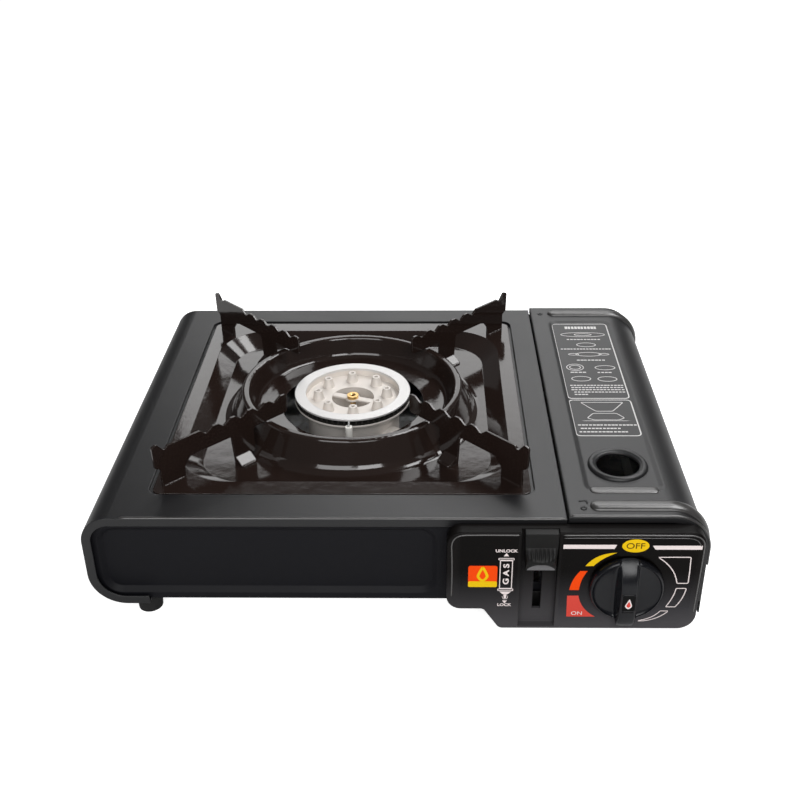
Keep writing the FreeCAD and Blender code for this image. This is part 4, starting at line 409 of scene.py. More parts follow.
def on_lid(flat, height):
    """Millimetres from the lid's left front corner, at a height above its sunk field, as places."""
    flat = np.asarray(flat, float)
    return np.stack([lid_low.x + flat[:, 0] / 1000.0, lid_low.y + flat[:, 1] / 1000.0,
                     lid_field + height + flat[:, 0] * 0.0], axis=-1)


def lid_piece(name, shape, finish):
    """A small piece that rides on the lid."""
    make_piece(name, *shape, finish, "lid", "case_paint")


def ellipse(centre, half_across, half_along, samples):
    """A closed outline: at each turn t, the centre + (half_across * cos t, half_along * sin t)."""
    turn = np.linspace(0.0, 2.0 * np.pi, samples, endpoint=False)
    return np.stack([centre[0] + half_across * np.cos(turn), centre[1] + half_along * np.sin(turn)], axis=-1)


dimple_radius = 1.35
for index, centre in enumerate([(8.8, 7.8), (7.1, 253.2)]):
    ring = on_lid(ellipse(centre, dimple_radius, dimple_radius, 24), field_depth)
    lid_piece(f"lid_dimple_{index}", bead(ring, up, 0.00055, 0.00032, True), lid_paint)
stop_mark = np.concatenate([bent((6.6, 14.4), (8.7, 14.8), (10.6, 15.0), 8),
                            bent((11.1, 14.6), (11.2, 13.4), (11.2, 11.6), 6)])
lid_piece("lid_stop_mark", bead(on_lid(stop_mark, field_depth), up, 0.0006, 0.0004), lid_paint)

# The two ribs have rounded crowns that run level, over the lid's shoulder and a little way down its
# right side. The folded front edge goes the same way, from the lid's left edge on.
rib_start, shoulder_start, rib_fall = 0.0118, 0.0550, 0.0108
shoulder = 0.0220
rib_inset = 0.010
shoulder_turn = np.linspace(0.0, np.pi / 2, 24)
level = np.linspace(rib_start, shoulder_start, 70)[:-1]
fall = np.linspace(0.0, rib_fall, 16)[1:]
rib_x = lid_low.x + sheet_gap + np.concatenate([
    level, shoulder_start + shoulder * np.sin(shoulder_turn), np.full(len(fall), shoulder_start + shoulder)])
rib_z = lid_top - shoulder + np.concatenate([
    np.full(len(level), shoulder), shoulder * np.cos(shoulder_turn), -fall])
rib_turn = np.concatenate([np.zeros(len(level)), shoulder_turn, np.full(len(fall), np.pi / 2)])
rib_normal = np.stack([np.sin(rib_turn), np.zeros(len(rib_turn)), np.cos(rib_turn)], axis=-1)
for name, rib_y in {"lid_rib_front": lid_low.y + rib_inset, "lid_rib_back": lid_high.y - rib_inset}.items():
    rib_path = np.stack([rib_x, np.full(len(rib_x), rib_y), rib_z], axis=-1)
    lid_piece(name, bead(rib_path, rib_normal, 0.0046, 0.0019, sides=28), crown_painted_highlight)

fold_level = np.linspace(0.0012, rib_start, 12)[:-1]
fold_x = np.concatenate([lid_low.x + fold_level, rib_x])
fold_z = np.concatenate([np.full(len(fold_level), lid_top), rib_z])
fold_normal = np.concatenate([np.tile(up, (len(fold_level), 1)), rib_normal])
fold_path = np.stack([fold_x, np.full(len(fold_x), lid_low.y + fold_half), fold_z], axis=-1)
lid_piece("lid_hem", bead(fold_path, fold_normal, fold_half, 0.0007, sides=12), crown_painted_highlight)

# A soft step across the lid in front of its finger hole, and the hole's rolled edge.
step_line = np.stack([np.linspace(14.4, 52.6, 60), np.full(60, 25.0)], axis=-1)
lid_piece("lid_field_step", bead(on_lid(step_line, field_depth), up, 0.0034, 0.0007, sides=16), crown_painted_highlight)
hole_centre, hole_radius = (33.8, 51.7), 15.1
hole_edge = on_lid(ellipse(hole_centre, hole_radius, hole_radius, 96), 0.0)
lid_piece("lid_hole_bead", bead(hole_edge, up, 0.0021, 0.0019, True, 20), lid_paint)


# The print on the lid: white ink in the sunk field, two framed fields with plain rows and rings in
# place of the words and pictures that such a lid carries.
white_ink = Finish("white_ink", Base_Color=(0.72, 0.71, 0.70, 1.0), Specular_IOR_Level=0.3)
ink_wear = white_ink.noise(white_ink.place(), 900.0, 3.0)
white_ink.give(Base_Color=white_ink.blend(ink_wear, (0.60, 0.59, 0.585, 1.0), (0.80, 0.79, 0.78, 1.0)),
               Roughness=0.45 + ink_wear * 0.2)
ink_height = 0.00006
frame_left, frame_right = 14.1, 53.2


def rectangle(left, near, right, far):
    """The four corners of a rectangle, in order around it."""
    return [(left, near), (right, near), (right, far), (left, far)]


frame_ends = {"lid_frame_back": (129.4, 238.2), "lid_frame_front": (84.0, 127.3)}
for name, (near, far) in frame_ends.items():
    path = on_lid(softened(rectangle(frame_left, near, frame_right, far), 3.2), ink_height)
    lid_piece(name, bead(path, up, 0.0004, ink_height, True), white_ink)

# Rows of print: the middle across, the place along the lid, the half length and the half height of
# each row. Gaps of four widths cut a row into parts that are about as long as words.
print_rows = [
    (34.6, 232.2, 11.6, 1.9), (34.5, 213.4, 12.0, 0.6), (34.3, 198.6, 17.6, 0.6), (35.7, 182.0, 9.8, 0.6),
    (25.0, 164.6, 5.4, 0.6), (42.4, 164.3, 4.8, 0.6), (34.9, 146.6, 17.6, 0.55), (34.9, 143.7, 17.2, 0.55),
    (34.9, 140.8, 17.4, 0.55), (35.6, 137.7, 16.6, 0.55), (23.5, 134.6, 4.6, 0.55),
    (34.6, 96.6, 18.2, 0.6), (30.0, 92.6, 12.4, 0.6), (31.4, 88.6, 15.0, 0.6)]
part_half, gap_least, gap_more = 1.1, 0.35, 0.12
for index, (middle, along, reach, half) in enumerate(print_rows):
    count = max(3, int(reach / part_half))
    edges = np.linspace(middle - reach, middle + reach, count + 1)
    for part in range(count):
        left = edges[part]
        right = edges[part + 1] - gap_least - gap_more * ((part * 7 + index * 3) % 4)
        corners = rectangle(left, along - half, right, along + half)
        lid_piece(f"lid_row_{index}_{part}", plate(corners, ink_height, on_lid), white_ink)

# Rings of print: centre, and half sizes across and along.
print_rings = [((34.6, 221.0), 15.5, 3.4), ((34.6, 221.0), 6.0, 1.6), ((35.0, 205.0), 6.5, 3.0),
               ((34.9, 190.6), 8.6, 2.8), ((24.6, 190.6), 3.4, 1.3), ((45.4, 190.6), 3.4, 1.3),
               ((23.4, 171.6), 5.6, 4.6), ((23.4, 171.6), 3.6, 2.8), ((43.4, 171.0), 6.6, 3.0),
               ((25.6, 155.6), 6.2, 3.2), ((42.8, 155.2), 6.2, 3.2)]
for index, (centre, half_across, half_along) in enumerate(print_rings):
    ring = on_lid(ellipse(centre, half_across, half_along, 40), ink_height)
    lid_piece(f"lid_ring_{index}", bead(ring, up, 0.0003, ink_height, True), white_ink)

# The front field: a pan's outline on a stand, over a ground line.
pan_shape = [[(21.3, 124.3), (48.1, 124.3), (43.6, 118.0), (40.0, 113.2), (29.6, 113.2), (25.8, 118.0)],
             [(23.2, 105.0), (27.4, 110.6), (42.0, 110.6), (46.2, 105.0), (42.4, 102.6), (27.0, 102.6)]]
for index, corners in enumerate(pan_shape):
    path = on_lid(softened(corners, 1.0, 4), ink_height)
    lid_piece(f"lid_picture_{index}", bead(path, up, 0.0003, ink_height, True), white_ink)
ground = on_lid(np.stack([np.linspace(19.1, 49.4, 12), np.full(12, 101.6)], axis=-1), ink_height)
lid_piece("lid_ground_line", bead(ground, up, 0.00022, ink_height), white_ink)


# The end panels: thinner steel plates with a pressed field, sprayed a flatter blue-black.
panel_paint = Finish("panel_paint", Base_Color=(0.005, 0.005, 0.007, 1.0), Specular_IOR_Level=0.18)
panel_place = panel_paint.place()
panel_paint.give(
    Roughness=0.5 + panel_paint.noise(panel_place, 18.0, 4.0) * 0.14,
    Normal=panel_paint.relief(panel_paint.noise(panel_place, 1600.0, 2.0), 0.00004,
                              panel_paint.rounded(0.0008)))
dress(panel_paint, "front_panel", "back_panel")


# The inside: galvanised sheet for the floor, partition, bracket, shield and the pusher, with the
# dull spangle of hot-dip zinc.
zinc = Finish("zinc_steel", Metallic=1.0)
zinc_place = zinc.place()
zinc_cells = zinc.node("ShaderNodeTexVoronoi", {}, {"Vector": zinc_place, "Scale": 190.0}, "Color")
zinc_level = zinc.parts(zinc_cells)[0]
zinc_grain = zinc.noise(zinc.stretched(zinc_place, 1.0, 0.12, 1.0), 1500.0, 2.0)
zinc.give(
    Base_Color=zinc.blend(zinc_level, (0.46, 0.47, 0.48, 1.0), (0.62, 0.62, 0.61, 1.0)),
    Roughness=0.3 + zinc_level * 0.18 + zinc_grain * 0.08,
    Normal=zinc.relief(zinc_grain, 0.00001, zinc.rounded(0.0004)))
dress(zinc, "base_tray", "partition", "burner_bracket", "heat_shield", "nozzle_bracket", "pusher_guides",
       "electrode_clip", "floor_screws", "regulator_screws",
      "control_screws", "hinge_pins", "mixing_tube", "gas_pipe", "electrode_wire", "valve_spindle")


# The pusher: bright passivated zinc, paler and duller than the rest.
pale_zinc = Finish("pale_zinc", Metallic=0.6)
pale_grain = pale_zinc.noise(pale_zinc.stretched(pale_zinc.place(), 1.0, 0.1, 1.0), 1400.0, 3.0)
pale_zinc.give(Base_Color=pale_zinc.blend(pale_grain, (0.66, 0.66, 0.65, 1.0), (0.80, 0.80, 0.79, 1.0)),
               Roughness=0.42 + pale_grain * 0.2)
dress(pale_zinc, "pusher")


# The feet and the bay's pads: moulded black rubber.
rubber = Finish("foot_rubber", Base_Color=(0.016, 0.016, 0.016, 1.0), Specular_IOR_Level=0.3)
rubber_grain = rubber.noise(rubber.place(), 2600.0, 2.0)
rubber.give(Roughness=0.62 + rubber_grain * 0.2,
            Normal=rubber.relief(rubber_grain, 0.00004, rubber.rounded(0.0006)))
dress(rubber, "left_feet", "right_feet", "bay_pads")


# The drip pan and trivet blades: pressed steel under fired enamel, a very dark brown-black glass
# that pools in the corners and thins at the edges.
enamel = Finish("enamel", Base_Color=(0.018, 0.011, 0.009, 1.0), Specular_IOR_Level=0.5,
                Coat_Weight=0.3, Coat_Roughness=0.03)
enamel_place = enamel.place()
enamel_wave = enamel.noise(enamel_place, 90.0, 2.0)
enamel_pits = enamel.noise(enamel_place, 900.0, 2.0)
enamel_thin = enamel.edge(0.0007, 1.4)
enamel.give(
    Base_Color=enamel.blend(enamel_thin, (0.018, 0.011, 0.009, 1.0), (0.045, 0.034, 0.03, 1.0)),
    Roughness=0.06 + enamel_pits * 0.07,
    Normal=enamel.relief(enamel_wave * 0.85 + enamel_pits * 0.15, 0.00012, enamel.rounded(0.0007)))
dress(enamel, "drip_pan", "trivet_blade_front_left", "trivet_blade_front_right",
      "trivet_blade_back_right", "trivet_blade_back_left")

# Spot welds under the enamel join each blade to the pan: a bead along the wedge at the leg's foot and
# one along the outer foot on the rim. Three small oblong swells are pressed in the pan's front.
burner_x = -0.0306
burner_y = 0.0117
floor_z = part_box("trivet_blade_front_left")[0].z
rim_z = 0.0702
ripple_height, ripple_rate = 0.00015, 4200.0
# Each weld's near and far end from the burner's axis, its offset from the blade, level and half width.
welds = [(0.0834, 0.0932, 0.0066, floor_z + 0.0003, 0.0011), (0.1290, 0.1428, 0.0009, rim_z, 0.0008)]
for degrees, side in {225: 1.0, 315: -1.0, 45: -1.0, 135: 1.0}.items():
    turn = math.radians(degrees)
    radial = np.array([math.cos(turn), math.sin(turn), 0.0])
    across = np.array([-math.sin(turn), math.cos(turn), 0.0]) * side
    for spot, (near, far, offset, level, half) in enumerate(welds):
        reach = np.linspace(near, far, 24)[:, None]
        ripple = ripple_height * np.sin(reach * ripple_rate)
        path = np.array([burner_x, burner_y, level]) + radial * reach + across * (offset + ripple)
        make_piece(f"weld_{degrees}_{spot}", *bead(path, up, half, half * 0.8), enamel, "pan_support",
                   "enamel")
swell_reach, swell_half, swell_height = 0.0055, 0.0013, 0.0006
for index, (x, y, degrees) in enumerate([(0.0215, -0.0560, 0.0), (0.0480, -0.0480, 24.0),
                                         (-0.0480, -0.0480, -24.0)]):
    turn = math.radians(degrees)
    reach = np.linspace(-swell_reach, swell_reach, 16)[:, None]
    path = np.array([burner_x + x, burner_y + y, floor_z]) + reach * np.array(
        [math.cos(turn), math.sin(turn), 0.0])
    make_piece(f"pan_swell_{index}", *bead(path, up, swell_half, swell_height), enamel, "pan_support",
               "enamel")


# The burner: cast aluminium bowl and head. The ring's top is turned bright and the dish is left as cast.
# The flame slots under the ring's edge are darkened with painted shade.
cast = Finish("cast_aluminium", Metallic=0.45)
cast_place = cast.place()
cast_x, cast_y, cast_z = cast.parts(cast_place)
cast_radius = ((cast_x - burner_x) ** 2.0 + (cast_y - burner_y) ** 2.0) ** 0.5
ring_top, ring_inner = 0.0735, 0.0293
slot_low, slot_high, slot_inner, slot_outer = 0.0684, 0.0740, 0.0306, 0.03685
steep, outer_steep = 4000.0, 9000.0
cast_top = ((cast_z - ring_top) * steep).clamped() * ((cast_radius - ring_inner) * steep).clamped()
cast_grain = cast.noise(cast_place, 1800.0, 4.0, 0.7)
cast_rings = cast.node("ShaderNodeMath", {"operation": "SINE"}, [cast_radius * 9000.0])
cast_rough = 0.5 + cast_grain * 0.2 - cast_top * 0.22
# Painted shade: the recessed flame slots are coloured near black, where shade falls in them.
cast_slot_painted_shade = (((slot_outer - cast_radius) * outer_steep).clamped()
              * ((cast_radius - slot_inner) * steep).clamped()
              * ((slot_high - cast_z) * steep).clamped() * ((cast_z - slot_low) * steep).clamped())
cast_clean = cast.blend(cast_top, (0.78, 0.735, 0.69, 1.0), (0.70, 0.69, 0.68, 1.0))
cast.give(
    Base_Color=cast.blend(cast_slot_painted_shade, cast_clean, (0.03, 0.027, 0.025, 1.0)),
    Roughness=cast_rough,
    Normal=cast.relief(cast_grain * (1.0 - cast_top) + cast_rings * cast_top * 0.06, 0.00012,
                       cast.rounded(0.0005)))
dress(cast, "burner_cap", "burner_body", "burner_bridge", "regulator_body")

brass = Finish("brass", Metallic=1.0)
brass_grain = brass.noise(brass.place(), 1500.0, 3.0)
brass.give(Base_Color=brass.blend(brass_grain, (0.72, 0.45, 0.16, 1.0), (0.83, 0.58, 0.25, 1.0)),
           Roughness=0.22 + brass_grain * 0.16,
           Normal=brass.relief(brass_grain, 0.00002, brass.rounded(0.0003)))
dress(brass, "burner_nut", "gas_nozzle", "regulator_cap", "cartridge_socket")

ceramic = Finish("ceramic", Base_Color=(0.84, 0.83, 0.8, 1.0), Coat_Weight=0.5, Coat_Roughness=0.1)
ceramic_grain = ceramic.noise(ceramic.place(), 700.0, 3.0)
ceramic.give(Roughness=0.2 + ceramic_grain * 0.15,
             Base_Color=ceramic.blend(ceramic_grain, (0.84, 0.83, 0.8, 1.0), (0.74, 0.72, 0.67, 1.0)),
             Normal=ceramic.relief(ceramic_grain, 0.00002, ceramic.rounded(0.0003)))
dress(ceramic, "electrode")

jacket = Finish("lead_jacket", Base_Color=(0.5, 0.06, 0.04, 1.0))
jacket_grain = jacket.noise(jacket.place(), 900.0, 2.0)
jacket.give(Roughness=0.4 + jacket_grain * 0.2, Normal=jacket.relief(jacket_grain, 0.00002))
dress(jacket, "ignition_lead")

steel = Finish("spring_steel", Metallic=1.0)
steel_grain = steel.noise(steel.place(), 1500.0, 2.0)
steel.give(Base_Color=steel.blend(steel_grain, (0.5, 0.5, 0.5, 1.0), (0.62, 0.62, 0.63, 1.0)),
           Roughness=0.25 + steel_grain * 0.15)
dress(steel, "return_spring")

dark_steel = Finish("dark_steel", Metallic=1.0)
dark_grain = dark_steel.noise(dark_steel.place(), 700.0, 3.0)
dark_steel.give(Base_Color=dark_steel.blend(dark_grain, (0.10, 0.095, 0.085, 1.0), (0.17, 0.165, 0.15, 1.0)),
                Roughness=0.35 + dark_grain * 0.2)
dress(dark_steel, "lever_slide")


# The control panel: one moulding in black plastic, finely sparked, screwed to the front. A glossy
# brown-black film is hot-pressed into its two label fields and fades into the plastic at their edges.
# The whole face is painted greyer toward its foot: a painted reflection of the pale table in front.
plastic = Finish("black_plastic", Specular_IOR_Level=0.22)
plastic_place = plastic.place()
plastic_grain = plastic.noise(plastic_place, 2200.0, 3.0, 0.6)
plastic.give(
    Roughness=0.36 + plastic_grain * 0.16,
    Base_Color=plastic.blend(plastic.edge(0.0006, 1.5) * 0.2, (0.004, 0.0037, 0.0035, 1.0),
                             (0.05, 0.05, 0.052, 1.0)),
    Normal=plastic.relief(plastic_grain, 0.00003, plastic.rounded(0.0008)))
dress(plastic, "igniter")

panel_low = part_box("control_panel")[0]
panel_x = panel_low.x
panel_face = panel_low.y
outward = np.array([0.0, -1.0, 0.0])


def on_panel(flat, height):
    """Millimetres from the panel's left edge and from the table, at a height above the panel's face."""
    flat = np.asarray(flat, float)
    return np.stack([panel_x + flat[:, 0] / 1000.0, panel_face - height + flat[:, 0] * 0.0,
                     flat[:, 1] / 1000.0], axis=-1)


def panel_piece(name, shape, finish):
    """A small piece that stays on the panel."""
    make_piece(name, *shape, finish, "stove", "black_plastic")


def soft_step(flow, start, end):
    """0 where a value is before the start and 1 past the end."""
    return ((flow - start) * (1.0 / (end - start))).clamped()


film = Finish("panel_film", Specular_IOR_Level=0.10)
film_place = film.place()
film_x, film_y, film_z = film.parts(film_place)
film_across = (film_x - panel_x) * 1000.0
film_up = film_z * 1000.0
film_left = (soft_step(film_across, 5.4, 7.6) * soft_step(film_across, 38.6, 38.0)
             * soft_step(film_up, 18.0, 34.0))
film_right = (soft_step(film_across, 61.0, 61.8) * soft_step(film_across, 136.2, 133.2)
              * soft_step(film_up, 5.0, 19.0))
film_share = ((film_left + film_right) * soft_step(film_up, 67.4, 66.8)
              * soft_step(film_y, panel_face + 0.0006, panel_face + 0.0002))
film_grain = film.noise(film_place, 2200.0, 3.0, 0.6)
# Painted reflection: the film and the moulding are coloured greyer toward the foot, where the pale table would
# reflect.
film_painted_reflection = soft_step(film_up, 44.0, 6.0) ** 1.4
film_moulding = film.blend(film_painted_reflection, (0.005, 0.0042, 0.004, 1.0), (0.070, 0.067, 0.071, 1.0))
film_gloss = film.blend(film_painted_reflection, (0.0012, 0.0006, 0.0004, 1.0), (0.062, 0.060, 0.066, 1.0))
film_dust = film.noise(film_place, 5200.0, 2.0)
film.give(
    Base_Color=film.blend(film_share, film.blend(film.edge(0.0006, 1.5) * 0.12, film_moulding,
                                                 (0.09, 0.09, 0.092, 1.0)), film_gloss),
    Roughness=0.40 + film_grain * 0.14 - film_share * (0.24 - film_dust * 0.06),
    Normal=film.relief(film_grain * (1.0 - film_share * 0.9), 0.00003, film.rounded(0.0010)))
dress(film, "control_panel")

# Two raised lines run along the top and the sides of the label fields.
left_line = np.concatenate([bent((39.2, 67.3), (24.0, 67.4), (10.0, 67.3), 24),
                            bent((9.2, 67.2), (4.6, 65.4), (2.6, 60.8), 12),
                            bent((2.5, 59.6), (2.9, 42.0), (2.6, 25.0), 24)])
right_line = np.concatenate([bent((61.2, 67.3), (94.0, 67.4), (129.2, 67.3), 40),
                             bent((130.2, 67.2), (135.0, 65.2), (137.0, 60.8), 14),
                             bent((137.1, 59.4), (136.8, 36.0), (136.2, 14.0), 24)])
inner_line = np.concatenate([bent((61.6, 65.5), (94.0, 65.6), (127.0, 65.5), 40),
                             bent((128.6, 65.4), (133.0, 63.8), (135.4, 59.8), 14)])
# Painted highlight: the raised lines get a lighter, glossier copy of the black plastic.
line_painted_highlight = Finish("line_painted_highlight", Specular_IOR_Level=0.8)
line_highlight_grain = line_painted_highlight.noise(line_painted_highlight.place(), 1500.0, 3.0)
line_painted_highlight.give(
    Base_Color=line_painted_highlight.blend(line_highlight_grain, (0.05, 0.048, 0.047, 1.0), (0.10, 0.097, 0.095, 1.0)),
    Roughness=0.2 + line_highlight_grain * 0.08)
for name, line, half in [("panel_line_left", left_line, 0.00042), ("panel_line_right", right_line, 0.00042),
                         ("panel_line_inner", inner_line, 0.00025)]:
    panel_piece(name, bead(on_panel(line, 0.0), outward, half, half), line_painted_highlight)


# The panel's print: screened inks on the film, each a little proud of it. Words are plain capitals.
def ink(name, paint):
    """A screened ink: its colour with faint pinholes and a dull sheen."""
    made = Finish(name, Specular_IOR_Level=0.12)
    grain = made.noise(made.place(), 1800.0, 3.0)
    darker = tuple(level * 0.86 for level in paint[:3]) + (1.0,)
    made.give(Base_Color=made.blend(grain, darker, paint), Roughness=0.38 + grain * 0.2,
              Normal=made.relief(grain, 0.00001))
    return made


print_height = 0.00008
second_height = 0.00014
yellow_ink = ink("yellow_ink", colour(246, 202, 10))
orange_ink = ink("orange_ink", colour(255, 76, 0))
red_ink = ink("red_ink", colour(226, 78, 66))
pale_ink = ink("pale_ink", colour(244, 232, 230))
dark_ink = ink("dark_ink", colour(70, 46, 8))


def print_plate(name, outline, finish, height=print_height):
    """One solid of ink on the panel."""
    panel_piece(name, plate(outline, height, on_panel), finish)


def print_line(name, outline, half_width, closed=True):
    """One drawn line of white ink on the panel."""
    panel_piece(name, bead(on_panel(outline, 0.00004), outward, half_width, print_height, closed), pale_ink)


def print_word(name, word, finish, centre, width, height, weight=0.02, lift=print_height, turned=False):
    """One word on the panel."""
    panel_piece(name, lettering(word, weight, lift, on_panel, np.array(centre), width, height, turned),
                finish)


off_centre = (100.5, 60.5)
print_plate("print_off_oval", ellipse(off_centre, 7.2, 4.3, 48), yellow_ink)
print_word("print_off", "OFF", dark_ink, off_centre, 9.8, 3.7, 0.0, second_height)
print_plate("print_bar_left", [(62.1, 58.5), (89.4, 58.5), (90.5, 61.2), (62.1, 61.2)], pale_ink)
print_plate("print_bar_right", [(111.2, 58.1), (136.0, 58.1), (136.0, 60.7), (109.5, 60.7)], pale_ink)
print_plate("print_low_flame", np.concatenate([
    bent((74.7, 46.9), (81.4, 53.5), (91.0, 55.9)), bent((91.0, 55.9), (84.2, 52.0), (79.1, 47.0))]),
            yellow_ink)
print_plate("print_middle_flame", np.concatenate([
    bent((67.0, 30.4), (68.8, 37.6), (72.2, 43.5)), bent((76.1, 43.5), (73.4, 37.4), (72.3, 30.4))]),
            orange_ink)
print_plate("print_high_flame", np.concatenate([
    [(66.1, 26.4)], bent((72.3, 26.5), (75.6, 18.0), (82.3, 11.6)), [(66.5, 11.6)]]), red_ink)
print_word("print_on", "ON", pale_ink, (72.0, 14.1), 6.0, 2.5, 0.0, second_height)

print_line("print_window_high", np.concatenate([
    bent((113.5, 52.9), (122.0, 53.0), (130.4, 53.0), 8), bent((130.7, 52.4), (131.0, 44.0), (131.1, 35.8), 8),
    bent((130.6, 35.2), (128.0, 35.2), (125.4, 35.2), 4), bent((125.0, 35.6), (121.2, 45.0), (114.0, 52.3))]),
           0.00030)
print_line("print_window_middle", np.concatenate([
    bent((125.3, 31.7), (128.0, 31.7), (130.3, 31.7), 4), bent((130.5, 31.2), (128.9, 24.6), (126.0, 19.0)),
    bent((125.6, 18.7), (123.0, 18.7), (120.9, 18.7), 4), bent((120.9, 19.2), (123.6, 25.2), (125.0, 31.2))]),
           0.00027)
print_line("print_window_low", np.concatenate([
    bent((118.1, 15.8), (120.2, 15.8), (122.2, 15.8), 4), bent((122.0, 15.2), (115.0, 10.2), (106.4, 8.5)),
    bent((106.8, 8.9), (113.4, 11.4), (117.7, 15.4))]), 0.00024)

print_word("print_unlock", "UNLOCK", pale_ink, (32.1, 57.0), 11.9, 2.0, 0.03)
print_word("print_lock", "LOCK", pale_ink, (31.9, 19.9), 7.7, 1.9, 0.03)
print_plate("print_arrow_up", [(30.5, 53.4), (33.4, 53.4), (32.0, 55.5)], pale_ink)
print_plate("print_arrow_down", [(30.6, 22.9), (32.0, 20.9), (33.3, 22.9)], pale_ink)
print_line("print_can_top", softened(rectangle(28.0, 50.9, 36.2, 52.0), 0.3, 4), 0.00022)
print_line("print_can_body", softened(rectangle(28.9, 31.4, 35.4, 50.4), 0.4, 4), 0.00026)
print_line("print_can_foot", softened(rectangle(28.0, 29.8, 36.2, 31.0), 0.3, 4), 0.00022)
print_plate("print_can_shoulder", [(29.0, 29.2), (35.3, 29.2), (33.6, 27.4), (30.6, 27.4)], pale_ink)
print_plate("print_can_neck", [(31.2, 27.2), (33.0, 27.2), (32.6, 24.4), (31.5, 24.4)], pale_ink)
print_line("print_can_valve", [(30.4, 26.6), (30.7, 25.2), (31.2, 24.0), (33.0, 24.0), (33.5, 25.2),
                               (33.8, 26.6)], 0.00016, False)
print_word("print_gas", "G A S", pale_ink, (32.15, 41.2), 14.0, 3.3, 0.03, print_height, True)

print_plate("sticker_field", softened(rectangle(11.7, 32.4, 27.4, 46.9), 1.4), orange_ink, 0.00012)
print_plate("sticker_band", softened(rectangle(11.7, 32.4, 27.4, 36.3), 0.9), yellow_ink, 0.00018)
drop = np.concatenate([bent((19.5, 45.8), (21.1, 42.6), (22.0, 39.8)),
                       bent((22.0, 39.6), (19.5, 36.9), (17.0, 39.6)),
                       bent((17.0, 39.8), (17.9, 42.6), (19.5, 45.8))])
panel_piece("sticker_drop", bead(on_panel(drop, second_height), outward, 0.00075, 0.00006, True), yellow_ink)


# The lever: a plastic thumb block that slides in the panel's channel, ribbed above its round lip so
# that the thumb doesn't slip. A paler crescent on its toe is a painted reflection of the floor. Its stem
# goes through the slot to the steel slide, and a dark plate set behind the slot's lower end is painted
# shade that darkens the slot.
block_low, block_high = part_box("lock_lever")
block_x = (block_low.x + block_high.x) / 2.0
block_shift = 0.0006
block_reach = 0.0045
block_face = block_low.y + block_reach
block_back = panel_face + 0.0042
block_half, ribs_half, top_half = 0.0081, 0.0087, 0.0089
lip_low, lip_high, ribs_end = 0.0526, 0.0540, 0.0596
rib_depth, ribs_a_side = 0.0007, 4

# Eight lines across the block, as depth and level: around its foot and the crescent, over the lip, up
# the ribs and over the top. The rows between them lie on straight lines. At a share s of the way from
# the lip to the top the ribs stand out by rib_depth * sin(pi s) * sin^2(pi ribs_a_side (across + 1)).
lever_across = np.linspace(-1.0, 1.0, 121)
lip = block_reach * np.sqrt(1.0 - (0.98 * lever_across) ** 2)
crescent = block_low.z + 0.0004 + 0.0034 * (1.0 - lever_across ** 2)
lever_lines = [(block_back, block_low.z), (block_face, block_low.z), (block_face, crescent),
               (block_face - lip, lip_low), (block_face - lip * 0.97, lip_high),
               (block_face + 0.0012, ribs_end), (block_face + 0.0014, block_high.z),
               (block_back, block_high.z)]
line_y, line_z = (np.stack([np.broadcast_to(line[axis], lever_across.shape) for line in lever_lines])
                  for axis in range(2))
line_half = np.array([block_half] * 5 + [ribs_half, top_half, top_half])
lever_rows = np.concatenate([[0.0, 1.0], np.linspace(2.0, 3.0, 6), np.linspace(3.2, 3.8, 4),
                             np.linspace(4.0, 5.0, 16), [6.0, 7.0]])
share = np.clip(1.0 - np.abs(lever_rows[:, None] - np.arange(8)[None, :]), 0.0, 1.0)
rib_swell = np.clip(np.sin(np.pi * np.clip(lever_rows - 4.0, 0.0, 1.0)), 0.0, 1.0)[:, None]
rib_wave = np.sin(np.pi * ribs_a_side * (lever_across + 1.0)) ** 2 * (np.abs(lever_across) < 0.875)
lever_y = share @ line_y - rib_depth * rib_swell * rib_wave[None, :]
lever_z = share @ line_z
lever_x = block_x + block_shift + (share @ line_half)[:, None] * lever_across[None, :]
lever_points = np.stack([lever_x, lever_y, lever_z], axis=-1).transpose(1, 0, 2)
lever_count = len(lever_rows)
last_side = lever_count * (len(lever_across) - 1)
lever_faces = grid_faces(len(lever_across), lever_count, True)
lever_faces += [list(range(lever_count)), list(range(last_side, last_side + lever_count))[::-1]]
lever = make_piece("lever_block", lever_points, lever_faces, plastic, "lever", "black_plastic", 35.0)
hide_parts("lock_lever")

stem_half, stem_low, stem_high = 0.0018, 0.0510, 0.0630
stem_front = block_back - 0.0004
stem_outline = rectangle(stem_front, stem_low, block_high.y, stem_high)
stem = plate(stem_outline, stem_half, lambda flat, side: np.stack(
    [block_x + 2.0 * side - stem_half + flat[:, 0] * 0.0, flat[:, 0], flat[:, 1]], axis=-1))
make_piece("lever_stem", *stem, plastic, "lever", "black_plastic")

# Painted reflection: a paler copy of the plastic on the lever's toe, where the floor would reflect.
toe_painted_reflection = Finish("toe_painted_reflection", Specular_IOR_Level=0.5)
toe_grain = toe_painted_reflection.noise(toe_painted_reflection.place(), 1800.0, 3.0)
toe_painted_reflection.give(
    Base_Color=toe_painted_reflection.blend(toe_grain, (0.09, 0.088, 0.092, 1.0), (0.16, 0.157, 0.163, 1.0)),
    Roughness=0.3 + toe_grain * 0.15)
toe_across = np.linspace(-0.92, 0.92, 41)
toe_foot = np.stack([toe_across * 0.0081, np.full(41, block_low.z + 0.0005)], axis=-1)
toe_arc = np.stack([toe_across[::-1] * 0.0080, block_low.z + 0.0007 + 0.0040 * (1.0 - toe_across ** 2)], -1)
toe = plate(np.concatenate([toe_foot, toe_arc]), 0.0003, lambda flat, height: np.stack(
    [block_x + block_shift + flat[:, 0], block_face - height + flat[:, 0] * 0.0, flat[:, 1]], axis=-1))
make_piece("lever_toe_painted_reflection", *toe, toe_painted_reflection, "lever", "black_plastic")

